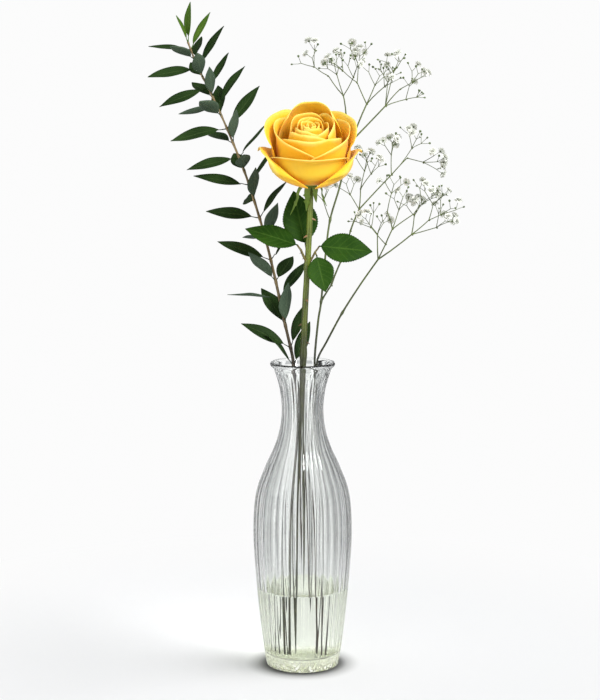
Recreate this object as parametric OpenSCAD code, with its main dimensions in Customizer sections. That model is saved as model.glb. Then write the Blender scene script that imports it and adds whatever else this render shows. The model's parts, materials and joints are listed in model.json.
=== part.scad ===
// A fluted glass bud vase, dressed with water, one rose, one leafy branch and two sprays of baby's breath.
// Millimetres, +Z up. The origin is the centre of the vase's foot, on the surface it stands on.
// -Y is the front. Every stem leans in the neck and lifts out along its own straight lower part.

/* [Vase] */
// Height from the foot to the top of the lip
vase_h = 240; // [225:1:260]
// Widest radius of the lip
lip_r = 25; // [23:0.5:27]
// Thickness of the glass wall
wall = 3; // [2.6:0.1:3.4]
// Thickness of the glass under the water
floor_h = 9; // [7:0.5:10]
// Number of upright flutes
flutes = 32; // [24:4:36]
// Depth of a flute at the belly
flute_depth = 0.9; // [0.4:0.1:1.2]
// Height of the water's surface
water_level = 62; // [40:1:90]

/* [Rose] */
// Radius of the stem
rose_stem_r = 2.6; // [2.2:0.1:2.8]
// Forward tilt of the flower, in degrees
head_tilt = 25; // [15:1:30]
// Radius of the outermost petal's belly
head_r = 32; // [30:0.5:34]
// Thickness of a petal
petal_t = 0.6; // [0.4:0.1:0.7]

/* [Leafy branch] */
// Radius of the woody stem where it is cut
branch_r = 1.5; // [1.2:0.1:1.6]
// Width of a leaf for each millimetre of its length
leaf_slimness = 0.27; // [0.2:0.01:0.3]
// Thickness of a leaf
leaf_t = 0.6; // [0.4:0.1:0.8]

/* [Baby's breath] */
// Radius of a stem where it is cut
spray_r = 0.95; // [0.8:0.05:1]
// Radius of the ball that an open floret fills
floret_r = 2.1; // [1.6:0.1:2.3]
// Radius of a closed bud
bud_r = 0.9; // [0.7:0.1:1.1]

/* [Hidden] */
petals = 15;
sides = 10;

// ---- small vector and curve helpers -------------------------------------------------------

function unit(v) = v / norm(v);
function across(v, d) = unit(v - (v * d) * d);
function smoothstep(low, high, x) = let (t = min(1, max(0, (x - low) / (high - low)))) t * t * (3 - 2 * t);

// One point of a smooth curve that passes through b and c
function curve_point(a, b, c, d, t) =
    0.5 * (2 * b + (c - a) * t + (2 * a - 5 * b + 4 * c - d) * t * t + (3 * b - a - 3 * c + d) * t * t * t);

// A smooth curve through every point of a list, with n steps between neighbours
function smooth(p, n, before) = concat(
    [for (i = [0:len(p) - 2], j = [0:n - 1])
        curve_point(i == 0 ? before : p[i - 1], p[i], p[i + 1], p[min(i + 2, len(p) - 1)], j / n)],
    [p[len(p) - 1]]);

// A stem's centreline: dead straight from its cut end to the mouth, and a smooth curve above it
function stem_line(cut, mouth, above, n = 3) =
    let (back = mouth - unit(mouth - cut) * norm(above[0] - mouth))
    concat([for (k = [0:3]) cut + (mouth - cut) * k / 4], smooth(concat([mouth], above), n, back));

// The point and the direction of a centreline at a height
function step_below(line, z) = max([0, for (i = [0:len(line) - 2]) line[i][2] <= z ? i : 0]);
function point_at(line, z) =
    let (i = step_below(line, z), a = line[i], b = line[i + 1])
    a + (b - a) * (z - a[2]) / (b[2] - a[2]);
function heading_at(line, z) =
    let (i = step_below(line, z)) unit(line[i + 1] - line[i]);

// Children with +X along a direction and +Z towards a face's outward side
module aimed(place, direction, face) {
    x = unit(direction);
    z = across(face, x);
    y = cross(z, x);
    multmatrix([[x[0], y[0], z[0], place[0]],
                [x[1], y[1], z[1], place[1]],
                [x[2], y[2], z[2], place[2]],
                [0, 0, 0, 1]]) children();
}

// A tube along a centreline, whose radius runs from r1 at its start to r2 at its end
module swept_tube(line, r1, r2, n = sides) {
    last = len(line) - 1;
    points = [for (i = [0:last])
        let (t = unit(line[min(i + 1, last)] - line[max(i - 1, 0)]),
             e = across([1, 0, 0], t),
             f = cross(t, e),
             r = r1 + (r2 - r1) * i / last)
        for (k = [0:n - 1]) line[i] + r * (cos(360 * k / n) * e + sin(360 * k / n) * f)];
    walls = [for (i = [0:last - 1], k = [0:n - 1])
        let (m = (k + 1) % n) [i * n + k, i * n + n + k, i * n + n + m, i * n + m]];
    ends = [[for (k = [0:n - 1]) k], [for (k = [n - 1:-1:0]) last * n + k]];
    polyhedron(points, concat(walls, ends), convexity = 10);
}

// A solid from a grid of points: rows that close on themselves, with a cap at each end
module lathe_grid(rows) {
    n = len(rows[0]);
    last = len(rows) - 1;
    walls = [for (i = [0:last - 1], k = [0:n - 1])
        let (m = (k + 1) % n) [i * n + k, i * n + n + k, i * n + n + m, i * n + m]];
    ends = [[for (k = [0:n - 1]) k], [for (k = [n - 1:-1:0]) last * n + k]];
    polyhedron([for (row = rows) each row], concat(walls, ends), convexity = 10);
}

// ---- the glass vase -----------------------------------------------------------------------

// Outer silhouette, as [height, radius], for a vase 240 tall
outline = [[0, 27.2], [3, 28.6], [24, 31.8], [64, 35.9], [104, 38.3], [136, 36.3],
           [158, 28.9], [173, 22], [188, 17.5], [204, 16.05], [220, 17.9], [234, 22]];
height_scale = vase_h / 240;
side_steps = 2;
outer_side = smooth(outline, side_steps, outline[0]);
columns = 3;
around = flutes * columns;

// How deep the flutes are at a height: full on the belly, gone at the foot and at the lip
function flute_at(z) = flute_depth * min(1, max(0, (z - 2) / 14)) * min(1, max(0, (233 - z) / 16));
function scallop(k) = sin(180 * (k % columns) / columns);

function ring(z, r, depth = 0) =
    [for (k = [0:around - 1])
        let (a = 360 * k / around, d = r - depth * scallop(k)) [d * cos(a), d * sin(a), z * height_scale]];

// The rolled lip, from its underside over the top to the inside of the mouth
lip = [[236.4, 24.2], [238, lip_r], [239.5, lip_r - 0.6], [240, lip_r - 1.9], [239.4, lip_r - 3.2], [236.5, lip_r - 4.6]];

// Inside of the wall, from the mouth down to the floor
inner_side = [for (i = [len(outer_side) - 3:-2:4]) if (outer_side[i][0] > floor_h + 8) outer_side[i] - [0, wall]];
inner_heel = [[floor_h + 5, 27.2], [floor_h + 1.5, 25.4], [floor_h, 22.5]];

module vase_body() {
    rows = concat(
        [for (p = outer_side) ring(p[0], p[1], flute_at(p[0]))],
        [for (p = lip) ring(p[0], p[1])],
        [for (p = inner_side) ring(p[0], p[1])],
        [for (p = inner_heel) ring(p[0], p[1])]);
    kick_r = 200;
    kick_h = 1.4;
    color([0.86, 0.9, 0.9, 0.35])
        difference() {
            lathe_grid(rows);
            // The underside is pushed up a little, so that the vase stands on a ring
            translate([0, 0, kick_h - kick_r]) sphere(r = kick_r, $fn = 200);
        }
}

// ---- stems: cut end, place in the mouth, and the line above the mouth -----------------------

mouth_z = 240;
rose_cut = [-9.5, -2, 10.4];
rose_mouth = [0.3, -8, mouth_z];
head_base = [6, -12.5, 376.5];
rose_line = stem_line(rose_cut, rose_mouth, [[2, -9.2, 285], [4.2, -10.6, 325], [5.4, -11.6, 352], head_base], 2);

branch_cut = [13, -8, 10.4];
branch_mouth = [-7.3, 4, mouth_z];
branch_line = stem_line(branch_cut, branch_mouth,
    [[-9, 5, 249], [-13.5, 7.5, 268], [-20.5, 11.5, 300], [-28.5, 16, 333], [-37.5, 20.5, 363], [-45, 24, 385],
     [-53.5, 27, 406], [-62.5, 29, 427], [-72, 31, 447], [-81, 32, 465], [-88, 32.5, 483]], 2);

tall_cut = [11, 1, 10.4];
tall_mouth = [9.3, 7, mouth_z];
tall_line = stem_line(tall_cut, tall_mouth,
    [[12, 10, 270], [14.3, 12, 285], [17.7, 17, 321], [21.2, 23, 347], [28, 28, 370], [34.5, 32, 395], [38.7, 34, 408]], 2);

side_cut = [-19, 6, 10.4];
side_mouth = [11.5, 9.5, mouth_z];
side_line = stem_line(side_cut, side_mouth, [[19, 8.5, 255], [30.5, 6, 277], [44, 2.5, 299], [57.5, -1, 319]], 2);

// ---- water --------------------------------------------------------------------------------

// The straight hole that a stem leaves in the water
module stem_channel(cut, mouth, r) {
    aimed(cut - unit(mouth - cut) * 3, mouth - cut, [0, 1, 0])
        rotate([0, 90, 0]) cylinder(r = r + 0.35, h = 140, $fn = 32);
}

module water() {
    gap = 0.3;
    side = [for (i = [0:len(outer_side) - 1]) if (outer_side[i][0] > floor_h + 8 && outer_side[i][0] < water_level - 3)
            outer_side[i] - [0, wall + gap]];
    top_r = outline[3][1] + (water_level - outline[3][0]) * 0.1 - wall - gap;
    color([0.84, 0.92, 0.86, 0.3])
        difference() {
            rotate_extrude($fn = 96)
                polygon(concat([[0, floor_h + gap], [22, floor_h + gap], [25, floor_h + 1.9], [26.8, floor_h + 5]],
                               [for (p = side) [p[1], p[0]]],
                               [[top_r, water_level], [0, water_level]]));
            stem_channel(rose_cut, rose_mouth, rose_stem_r);
            stem_channel(branch_cut, branch_mouth, branch_r);
            stem_channel(tall_cut, tall_mouth, spray_r);
            stem_channel(side_cut, side_mouth, spray_r);
        }
}

// ---- rose ---------------------------------------------------------------------------------

module rose_stem() {
    color([0.36, 0.46, 0.14]) swept_tube(rose_line, rose_stem_r, rose_stem_r * 0.92);
}

// Prickles at these heights, each turned round the stem from the one below
prickle_heights = [256, 270, 289, 303, 338, 351];
module rose_prickles() {
    for (i = [0:len(prickle_heights) - 1]) {
        z = prickle_heights[i];
        turn = 20 + 137.5 * i;
        out = [cos(turn), sin(turn), -0.35];
        color([0.45, 0.36, 0.16])
            aimed(point_at(rose_line, z) + unit([out[0], out[1], 0]) * (rose_stem_r - 0.5), out, [0, 0, 1])
                rotate([0, 90, 0]) cylinder(r1 = 1.1, r2 = 0.15, h = 3, $fn = 24);
    }
}

// Everything on the flower's own axis is drawn upright and then tilted forward
module on_head() translate(head_base) rotate([head_tilt, 0, 0]) children();

module rose_hip() {
    color([0.4, 0.52, 0.2])
        on_head() rotate_extrude($fn = 48)
            polygon([[0, -1.5], [2.6, -1.2], [4.6, 0.6], [5.8, 2.2], [6.1, 3.6], [1.9, 9.4], [0, 9.8]]);
}

// Outline of a leaf along +X: a stalk, then a blade whose widest place is at "belly" of its length
function blade(length, width, stalk, stalk_w, belly = 0.45, steps = 10) =
    let (body = length - stalk,
         bend = ln(0.5) / ln(belly),
         half = [for (i = [1:steps - 1]) let (t = i / steps) [stalk + body * t, width / 2 * pow(sin(180 * pow(t, bend)), 0.9)]])
    concat([[0, -stalk_w / 2], [stalk, -stalk_w / 2]],
           [for (p = half) [p[0], -max(p[1], stalk_w / 2)]],
           [[length, 0]],
           [for (i = [len(half) - 1:-1:0]) [half[i][0], max(half[i][1], stalk_w / 2)]],
           [[stalk, stalk_w / 2], [0, stalk_w / 2]]);

module leaf(length, width, stalk, stalk_w = 0.9, belly = 0.45) {
    translate([0, 0, -leaf_t / 2]) linear_extrude(leaf_t) polygon(blade(length, width, stalk, stalk_w, belly));
}

// Sepals hang from the rim of the hip: [turn round the flower, droop below level, length]
sepals = [[200, 62, 30], [250, 75, 24], [300, 72, 20], [350, 64, 31], [100, 68, 21]];
module rose_sepals() {
    for (s = sepals) {
        around_hip = [cos(s[0]), sin(s[0]), 0];
        color([0.5, 0.6, 0.28])
            on_head() aimed(around_hip * 5.4 + [0, 0, 1.6], around_hip * cos(s[1]) - [0, 0, sin(s[1])],
                            around_hip * sin(s[1]) + [0, 0, cos(s[1])])
                leaf(s[2], 6, 1, 3.4, 0.3);
    }
}

// The stalk of the compound leaf: from the stem to the fork, and on to each leaflet
stalk_root = [4.1, -10.6, 316];
left_fork = [-1.5, -14.5, 328];
right_fork = [9.4, -12.8, 326];
leaflet_base = [[-4, -15.5, 331.5], [2.2, -5.4, 331], [12.6, -14.2, 330.5], [10.6, -15, 323.5]];
leaflet_tip = [[-42.5, -13, 346.5], [-7, 0.5, 371], [52.5, -19, 327.5], [17.2, -26, 297.5]];
leaflet_face = [[0.3, -0.7, 0.65], [0.25, -1, 0.1], [0.05, -0.92, 0.4], [0.15, -0.9, -0.3]];
leaflet_width = [21, 27, 23, 20];

module rod(a, b, r1, r2, n = 6) hull() {
    translate(a) sphere(r = r1, $fn = n);
    translate(b) sphere(r = r2, $fn = n);
}

module rose_leaf_stalk() {
    color([0.45, 0.32, 0.16]) {
        rod(stalk_root, left_fork, 1.1, 0.9, 6);
        rod(left_fork, leaflet_base[0], 0.9, 0.7, 6);
        rod(stalk_root, right_fork, 1, 0.8, 6);
        rod(right_fork, leaflet_base[2], 0.8, 0.6, 6);
        rod(right_fork, leaflet_base[3], 0.8, 0.6, 6);
        rod(stalk_root + [0.4, 2, 3], leaflet_base[1], 0.9, 0.7, 6);
        rod(stalk_root, stalk_root + [0.4, 2, 3], 1, 0.9, 6);
    }
}

module rose_leaflet(i) {
    along = leaflet_tip[i] - leaflet_base[i];
    color([0.16, 0.32, 0.1])
        aimed(leaflet_base[i] - unit(along) * 0.4, along, leaflet_face[i])
            leaf(norm(along) + 0.4, leaflet_width[i], 1.2, 1.3, 0.42);
}

// Petals are curved shells round the flower's axis, from the innermost to the outermost:
// [turn, root, height, radius of the belly, radius of the rim, half width in degrees, roll of the rim,
//  taper of the tip, tilt]. The root runs from 0 high on the hip to 1 at its rim.
petal_table = [
    [100, 0.05, 52, 11.2, 9.9, 88, 0.5, 0, 0],
    [235, 0.10, 51, 12.6, 11.1, 84, 0.5, 0, 0],
    [345, 0.16, 51, 14.3, 12.6, 80, 0.5, 0, 0],
    [115, 0.24, 54, 16.3, 14, 80, 0.5, 0, 0],
    [250, 0.30, 50, 17.4, 15.4, 76, 0.5, 0, 0],
    [20, 0.37, 54, 19.1, 16.6, 70, 0.4, 0, 0],
    [92, 0.46, 63, 24.8, 17, 82, 0.4, 0, 0],
    [272, 0.50, 50, 23, 22.5, 78, 1.4, 0, 0],
    [200, 0.57, 49, 25.5, 26.5, 84, 1.6, 0, -3],
    [340, 0.64, 47, 27.5, 28, 78, 1.6, 0, 3],
    [152, 0.72, 51, 29.5, 32.5, 54, 1.6, 0, 0],
    [28, 0.79, 50, 29.8, 32.3, 54, 1.8, 0, 0],
    [268, 0.86, 42, 30, 30, 62, 3.6, 0, 0],
    [203, 0.93, 37, 32, 37, 54, 1.8, 0.34, -2],
    [328, 1, 36, 32, 36, 56, 1.8, 0.2, 2],
];

// u runs from -1 to 1 across the petal, v from 0 at its root to 1 at its rim, and out is outwards
function petal_point(p, u, v, out) =
    let (full = head_r / 32,
         root_r = 1.9 + 4 * p[1],
         root_z = 9.2 - 5.4 * p[1],
         crown = 1 - (0.13 + 0.2 * p[7]) * pow(abs(u), 3),
         over = max(0, (v - 0.55) / 0.45),
         curl = smoothstep(0.78, 1, max(v, abs(u) * (0.3 + 0.7 * v))),
         swell = sin(90 * pow(min(1, v / 0.55), 0.75)),
         r = root_r + (p[3] * full - root_r) * swell + (p[4] - p[3]) * full * over * over
             + p[6] * curl * (0.5 + 0.5 * v) + out,
         z = root_z + (p[2] - root_z) * v * crown + p[8] * v * u - p[6] * 0.6 * curl * curl - out * (1 - v) * 0.8,
         spread = p[5] * (0.42 + 0.58 * sin(90 * min(1, v / 0.5))) * (1 - 0.12 * over * over - p[7] * v * v),
         a = p[0] + u * spread)
    [r * cos(a), r * sin(a), z];

module rose_petal(i) {
    nu = 6;
    nv = 6;
    thick = petal_t / 2;
    rows = [for (j = [0:nv])
        let (v = j / nv, w = thick * (0.45 + 0.55 * min(1, v / 0.3)))
        concat([for (k = [0:nu]) petal_point(petal_table[i], -1 + 2 * k / nu, v, w)],
               [for (k = [nu:-1:0]) petal_point(petal_table[i], -1 + 2 * k / nu, v, -w)])];
    color([0.97, 0.76, 0.13]) on_head() strip_solid(rows, nu + 1);
}

// A shell from rows that run out along its outer face and back along its inner one
module strip_solid(rows, half) {
    n = len(rows[0]);
    last = len(rows) - 1;
    walls = [for (i = [0:last - 1], k = [0:n - 1])
        let (m = (k + 1) % n) each [[i * n + k, i * n + n + k, i * n + n + m], [i * n + k, i * n + n + m, i * n + m]]];
    ends = [for (k = [0:half - 2]) each
        [[k, k + 1, n - 2 - k], [k, n - 2 - k, n - 1 - k],
         [last * n + k + 1, last * n + k, last * n + n - 2 - k], [last * n + n - 2 - k, last * n + k, last * n + n - 1 - k]]];
    polyhedron([for (row = rows) each row], concat(walls, ends), convexity = 6);
}

module rose_heart() {
    color([0.96, 0.68, 0.08])
        on_head() rotate_extrude($fn = 60)
            polygon([[0, 9.6], [1, 10.2], [3.4, 13.2], [5.8, 16.5], [7.8, 22], [8.8, 28], [9, 36], [8.8, 46],
                     [8, 50.5], [5, 52], [0, 52.4]]);
}

// ---- leafy branch -------------------------------------------------------------------------

module branch_stem() {
    color([0.42, 0.3, 0.16]) swept_tube(branch_line, branch_r, 0.55);
}

// Leaves stand in opposite pairs: [height, turn of the first leaf, then for the first and for the second
// leaf: length, angle from the stem, roll of the blade]. A turn of 0 is right, 90 back and 270 front.
// Leaves that face the front or the back are broader than those at the sides.
leaf_pairs = [
    [236, 196, [34, 31, -25], [36, 26, 55]],
    [250, 188, [42, 48, -60], [37, 30, 50]],
    [267, 125, [38, 27, 0], [35, 24, 10]],
    [288, 190, [40, 74, 5], [36, 47, 45]],
    [301, 228, [34, 40, 0], [30, 58, 30]],
    [317, 187, [43, 57, -55], [35, 48, 10]],
    [333, 142, [22, 72, 30], [31, 40, -20]],
    [349, 190, [41, 64, -60], [36, 48, 25]],
    [362, 112, [24, 74, -40], [30, 38, 20]],
    [374, 185, [43, 60, -50], [38, 52, 20]],
    [385, 98, [26, 48, 0], [28, 68, 0]],
    [395, 188, [41, 80, -50], [34, 60, 15]],
    [406, 132, [31, 52, 0], [28, 38, 0]],
    [417, 190, [44, 76, -50], [42, 58, 50]],
    [427, 248, [31, 58, 0], [30, 38, 0]],
    [434, 188, [30, 76, 30], [38, 56, 35]],
    [441, 122, [26, 42, 0], [25, 34, 0]],
    [448, 186, [40, 84, -50], [31, 56, 40]],
    [456, 104, [22, 42, 0], [26, 46, 0]],
    [463, 190, [39, 72, -50], [38, 54, 30]],
    [470, 236, [27, 52, 0], [24, 50, 0]],
    [477, 184, [32, 62, -30], [32, 44, 40]],
    [482.4, 200, [22, 2, -40], [31, 24, 20]],
];

module branch_leaf(z, turn, length, lean, roll) {
    stem = heading_at(branch_line, z);
    right = across([1, 0, 0], stem);
    back = cross(stem, right);
    out = cos(turn) * right + sin(turn) * back;
    along = cos(lean) * stem + sin(lean) * out;
    face = across(stem, along);
    broad = 1 + 0.5 * abs(sin(turn));
    color([0.17, 0.3, 0.14])
        aimed(point_at(branch_line, z), along, cos(roll) * face + sin(roll) * cross(along, face))
            translate([0.5, 0, 0]) leaf(length, length * leaf_slimness * broad, length * 0.14, 1);
}

module branch_leaf_pair(i) {
    p = leaf_pairs[i];
    branch_leaf(p[0], p[1], p[2][0], p[2][1], p[2][2]);
    branch_leaf(p[0], p[1] + 180, p[3][0], p[3][1], p[3][2]);
}

// ---- baby's breath ------------------------------------------------------------------------

// Main limbs, as [start, end, radius]. Every end that no other limb starts from bears a tuft.
tall_fork_low = [14.3, 12, 285];
tall_fork_mid = [21.2, 23, 347];
tall_fork_high = [38.7, 34, 408];
tall_arm = [43.8, 31, 354.6];
tall_arm_end = [69, 37, 381];
tall_left = [31.5, 37, 442];
tall_centre = [49.5, 37, 435.5];
tall_right = [64, 38, 434];
tall_limbs = [
    [tall_fork_high, [33.5, 36, 428], 0.55], [[33.5, 36, 428], tall_left, 0.5],
    [tall_left, [20, 38, 457], 0.4], [[20, 38, 457], [9, 36, 464], 0.32],
    [tall_left, [26.5, 42, 458], 0.35], [tall_left, [39, 33, 456], 0.35],
    [tall_fork_high, tall_centre, 0.6],
    [tall_centre, [42, 34, 452], 0.4], [[42, 34, 452], [31, 30, 461], 0.32],
    [[42, 34, 452], [43, 40, 466], 0.32],
    [tall_centre, [56, 42, 450], 0.4], [tall_centre, [63, 32, 449], 0.4],
    [tall_fork_high, tall_right, 0.6],
    [tall_right, [75, 34, 447], 0.4], [[75, 34, 447], [84, 33, 452], 0.32],
    [tall_right, [80, 42, 439], 0.35], [tall_right, [66, 45, 452], 0.35], [tall_right, [70, 36, 460], 0.32],
    [tall_fork_low, [22, 16, 297], 0.7], [[22, 16, 297], [30, 21, 316], 0.7],
    [[30, 21, 316], [37, 27, 338], 0.65], [[37, 27, 338], tall_arm, 0.6],
    [tall_arm, [45, 35, 370], 0.45], [[45, 35, 370], [48, 36, 384], 0.35],
    [[45, 35, 370], [53, 32, 382], 0.35], [tall_arm, [37, 32, 366], 0.35],
    [tall_arm, tall_arm_end, 0.5],
    [tall_arm_end, [69, 42, 396], 0.35], [tall_arm_end, [81, 36, 394], 0.38],
    [[81, 36, 394], [93, 34, 391], 0.32], [tall_arm_end, [85, 44, 401], 0.32],
    [tall_fork_mid, [16, 22, 362], 0.35],
];

side_fork_low = [57.5, -1, 319];
side_mid = [68, -6, 342.6];
side_far = [83, 0, 338];
side_limbs = [
    [side_fork_low, [57, 1, 338], 0.45], [side_fork_low, [63, -5, 331], 0.5], [[63, -5, 331], side_mid, 0.5],
    [side_mid, [64, -9, 356], 0.4], [[64, -9, 356], [67, -9, 370], 0.32], [side_mid, [73, -2, 357], 0.35],
    [side_mid, [84, -6, 354], 0.4], [[84, -6, 354], [90, -8, 362], 0.32],
    [[63, -5, 331], [52, -8, 344], 0.35],
    [side_fork_low, side_far, 0.55],
    [side_far, [85, 2, 352], 0.4], [side_far, [96, 0, 349], 0.4], [[96, 0, 349], [99, -2, 361], 0.32],
    [[96, 0, 349], [105, 1, 353], 0.32], [side_far, [102, 4, 343], 0.38],
];

// A number from 0 to 1 that looks random and is always the same for the same n
function chance(n) = let (s = sin(n * 151.7 + 33.3) * 4375.85) s - floor(s);

function is_end(p, limbs) = len([for (l = limbs) if (l[0] == p) 1]) == 0;
function twig_ends(limbs) = [for (l = limbs) if (is_end(l[1], limbs)) l];

// A side shoot from p, turned away from the heading h
function shoot(p, h, length, spread, turn) =
    let (e = across([1, 0.3, 0], h), f = cross(h, e))
    p + length * (cos(spread) * h + sin(spread) * (cos(turn) * e + sin(turn) * f));

// From each limb's end grow 3 shoots, and from each shoot 2 or 3 hair-thin flower stalks
function shoots(limbs, seed) = [for (k = [0:len(twig_ends(limbs)) - 1])
    let (l = twig_ends(limbs)[k], h = unit(unit(l[1] - l[0]) + [0, 0, 0.5]))
    for (j = [0:2])
        let (n = seed + 10 * k + j)
        [l[1], shoot(l[1], h, 8 + 5 * chance(n), 30 + 16 * chance(n + 0.3), 120 * j + 70 * chance(n + 0.6)), 0.28, n]];
function stalks(limbs, seed) = [for (s = shoots(limbs, seed))
    let (h = unit(unit(s[1] - s[0]) + [0, 0, 0.35]))
    for (j = [0:(chance(s[3] + 4) < 0.5 ? 1 : 2)])
        let (n = s[3] + 0.1 * j)
        [s[1], shoot(s[1], h, 5 + 3.5 * chance(n + 5), 28 + 22 * chance(n + 7), 120 * j + 60 * chance(n + 9)), 0.22, n]];

// About two stalks in five end in an open floret, and the others in a bud
function is_open(stalk) = chance(stalk[3] * 3 + 1) < 0.42;

module spray_stem(line) color([0.3, 0.38, 0.14]) swept_tube(line, spray_r, 0.62, 8);

module spray_twigs(limbs, seed) {
    color([0.36, 0.44, 0.18]) union() {
        for (l = limbs) rod(l[0], l[1], l[2], l[2] * 0.85, 5);
        for (s = shoots(limbs, seed)) rod(s[0], s[1], s[2], s[2] * 0.85, 4);
        for (s = stalks(limbs, seed)) rod(s[0], s[1], s[2], s[2] * 0.85, 4);
    }
}

module spray_florets(limbs, seed) {
    color([0.97, 0.97, 0.95])
        for (s = stalks(limbs, seed))
            if (is_open(s)) translate(s[1] + unit(s[1] - s[0]) * floret_r * 0.7) sphere(r = floret_r, $fn = 20);
}

module spray_buds(limbs, seed) {
    color([0.3, 0.4, 0.16])
        for (s = stalks(limbs, seed))
            if (!is_open(s)) translate(s[1] + unit(s[1] - s[0]) * bud_r * 0.6) sphere(r = bud_r, $fn = 16);
}

// ---- what is drawn ------------------------------------------------------------------------

vase_body();
water();
rose_stem();
rose_hip();
rose_sepals();
rose_prickles();
rose_leaf_stalk();
for (i = [1:4]) rose_leaflet(i - 1);
rose_heart();
for (i = [1:petals]) rose_petal(i - 1);
branch_stem();
for (i = [1:23]) branch_leaf_pair(i - 1);
spray_stem(tall_line);  // tall_spray_stem
spray_twigs(tall_limbs, 100);  // tall_spray_twigs
spray_florets(tall_limbs, 100);  // tall_spray_florets
spray_buds(tall_limbs, 100);  // tall_spray_buds
spray_stem(side_line);  // side_spray_stem
spray_twigs(side_limbs, 700);  // side_spray_twigs
spray_florets(side_limbs, 700);  // side_spray_florets
spray_buds(side_limbs, 700);  // side_spray_buds
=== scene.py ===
# %% [markdown]
# # A fluted glass bud vase with a rose, a leafy branch and baby's breath
# This lesson builds the looks of a small arrangement around a CAD model that already holds its
# sizes and its joints. Each later cell makes one thing: a helper, a finish, or a finer piece that
# takes a CAD node's place. All shapes are written in millimetres, with +Z up and -Y towards the
# viewer, and are scaled to metres when their mesh is made.

import json
import math

import bpy
from mathutils import Matrix, Vector, noise

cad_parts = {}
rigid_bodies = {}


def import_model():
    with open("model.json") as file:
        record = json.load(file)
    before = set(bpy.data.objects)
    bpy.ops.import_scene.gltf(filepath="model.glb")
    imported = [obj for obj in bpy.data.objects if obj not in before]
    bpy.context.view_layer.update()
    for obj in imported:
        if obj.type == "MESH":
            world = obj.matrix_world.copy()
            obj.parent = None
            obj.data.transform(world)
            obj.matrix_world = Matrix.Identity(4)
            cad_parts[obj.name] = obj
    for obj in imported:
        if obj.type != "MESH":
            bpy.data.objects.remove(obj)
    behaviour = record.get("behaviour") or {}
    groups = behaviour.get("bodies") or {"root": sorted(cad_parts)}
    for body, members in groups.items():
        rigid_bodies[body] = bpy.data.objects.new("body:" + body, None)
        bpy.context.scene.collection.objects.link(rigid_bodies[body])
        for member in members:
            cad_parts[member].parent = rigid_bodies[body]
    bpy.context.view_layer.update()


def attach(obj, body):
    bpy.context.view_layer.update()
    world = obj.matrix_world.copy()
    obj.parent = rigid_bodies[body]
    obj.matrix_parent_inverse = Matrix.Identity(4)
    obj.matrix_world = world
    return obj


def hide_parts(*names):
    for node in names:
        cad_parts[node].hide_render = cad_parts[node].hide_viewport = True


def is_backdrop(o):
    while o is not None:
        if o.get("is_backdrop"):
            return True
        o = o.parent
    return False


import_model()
MM = 0.001

# %% [markdown]
# ## Collecting faces
# A plant is hundreds of small surfaces. Making one Blender object for each is slow, so a Mesher
# gathers points, faces, a material number and UVs, and makes one object at the end. Its `skin`
# stretches faces over rows of points, which is all that a turned vase needs.


# %% The mesh collector
class Mesher:
    def __init__(self):
        self.points, self.faces, self.marks, self.uvs = [], [], [], []

    def add(self, points, faces, mark, uvs):
        first = len(self.points)
        self.points += [Vector(p) for p in points]
        for face in faces:
            self.faces.append([first + k for k in face])
            self.marks.append(mark)
            self.uvs.append([uvs[k] for k in face])

    def skin(self, rows, mark=0, closed=False, uvs=None):
        """A surface through rows of points, closed across each row if asked."""
        n = len(rows[0])
        points = [p for row in rows for p in row]
        if uvs is None:
            uvs = [(k / (n - 1 + closed), i / (len(rows) - 1)) for i in range(len(rows)) for k in range(n)]
        faces = []
        for i in range(len(rows) - 1):
            for k in range(n if closed else n - 1):
                m = (k + 1) % n
                faces.append([i * n + k, i * n + m, (i + 1) * n + m, (i + 1) * n + k])
        self.add(points, faces, mark, uvs)

    def piece(self, name, body, nodes, materials, slot):
        """The Blender object: it rides on a CAD body and stands for the CAD nodes it redraws."""
        mesh = bpy.data.meshes.new(name)
        mesh.from_pydata([p * MM for p in self.points], [], self.faces)
        layer = mesh.uv_layers.new(name="UVMap")
        layer.data.foreach_set("uv", [x for face in self.uvs for uv in face for x in uv])
        mesh.polygons.foreach_set("material_index", self.marks)
        mesh.polygons.foreach_set("use_smooth", [True] * len(self.faces))
        for material in materials:
            mesh.materials.append(material)
        mesh.validate()
        mesh.update()
        obj = bpy.data.objects.new(name, mesh)
        bpy.context.scene.collection.objects.link(obj)
        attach(obj, body)
        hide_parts(*nodes)
        return obj


# %% [markdown]
# ## Lines that stems follow
# Each stem is dead straight from its cut end to the vase's mouth, which is what lets it be lifted
# out, and then bends in a smooth curve through a few chosen points. A Bezier curve object could do
# this too. A formula through the points is used instead, because leaves and prickles must later
# ask the line where it is at some height.


# %% Curves
def curve_point(a, b, c, d, t):
    return 0.5 * (2 * b + (c - a) * t + (2 * a - 5 * b + 4 * c - d) * t * t + (3 * b - a - 3 * c + d) * t**3)


def smooth_line(points, steps, before=None):
    points = [Vector(p) for p in points]
    line = []
    for i in range(len(points) - 1):
        a = points[i - 1] if i else (Vector(before) if before is not None else points[0])
        d = points[min(i + 2, len(points) - 1)]
        line += [curve_point(a, points[i], points[i + 1], d, j / steps) for j in range(steps)]
    return line + [points[-1]]


def stem_line(cut, mouth, above, steps=6, straight=16):
    """Straight from the cut end to the mouth, then smooth through the points above it."""
    cut, mouth = Vector(cut), Vector(mouth)
    back = mouth - (mouth - cut).normalized() * (Vector(above[0]) - mouth).length
    line = [cut.lerp(mouth, k / straight) for k in range(straight)]
    return line + smooth_line([mouth] + list(above), steps, back)


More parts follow.
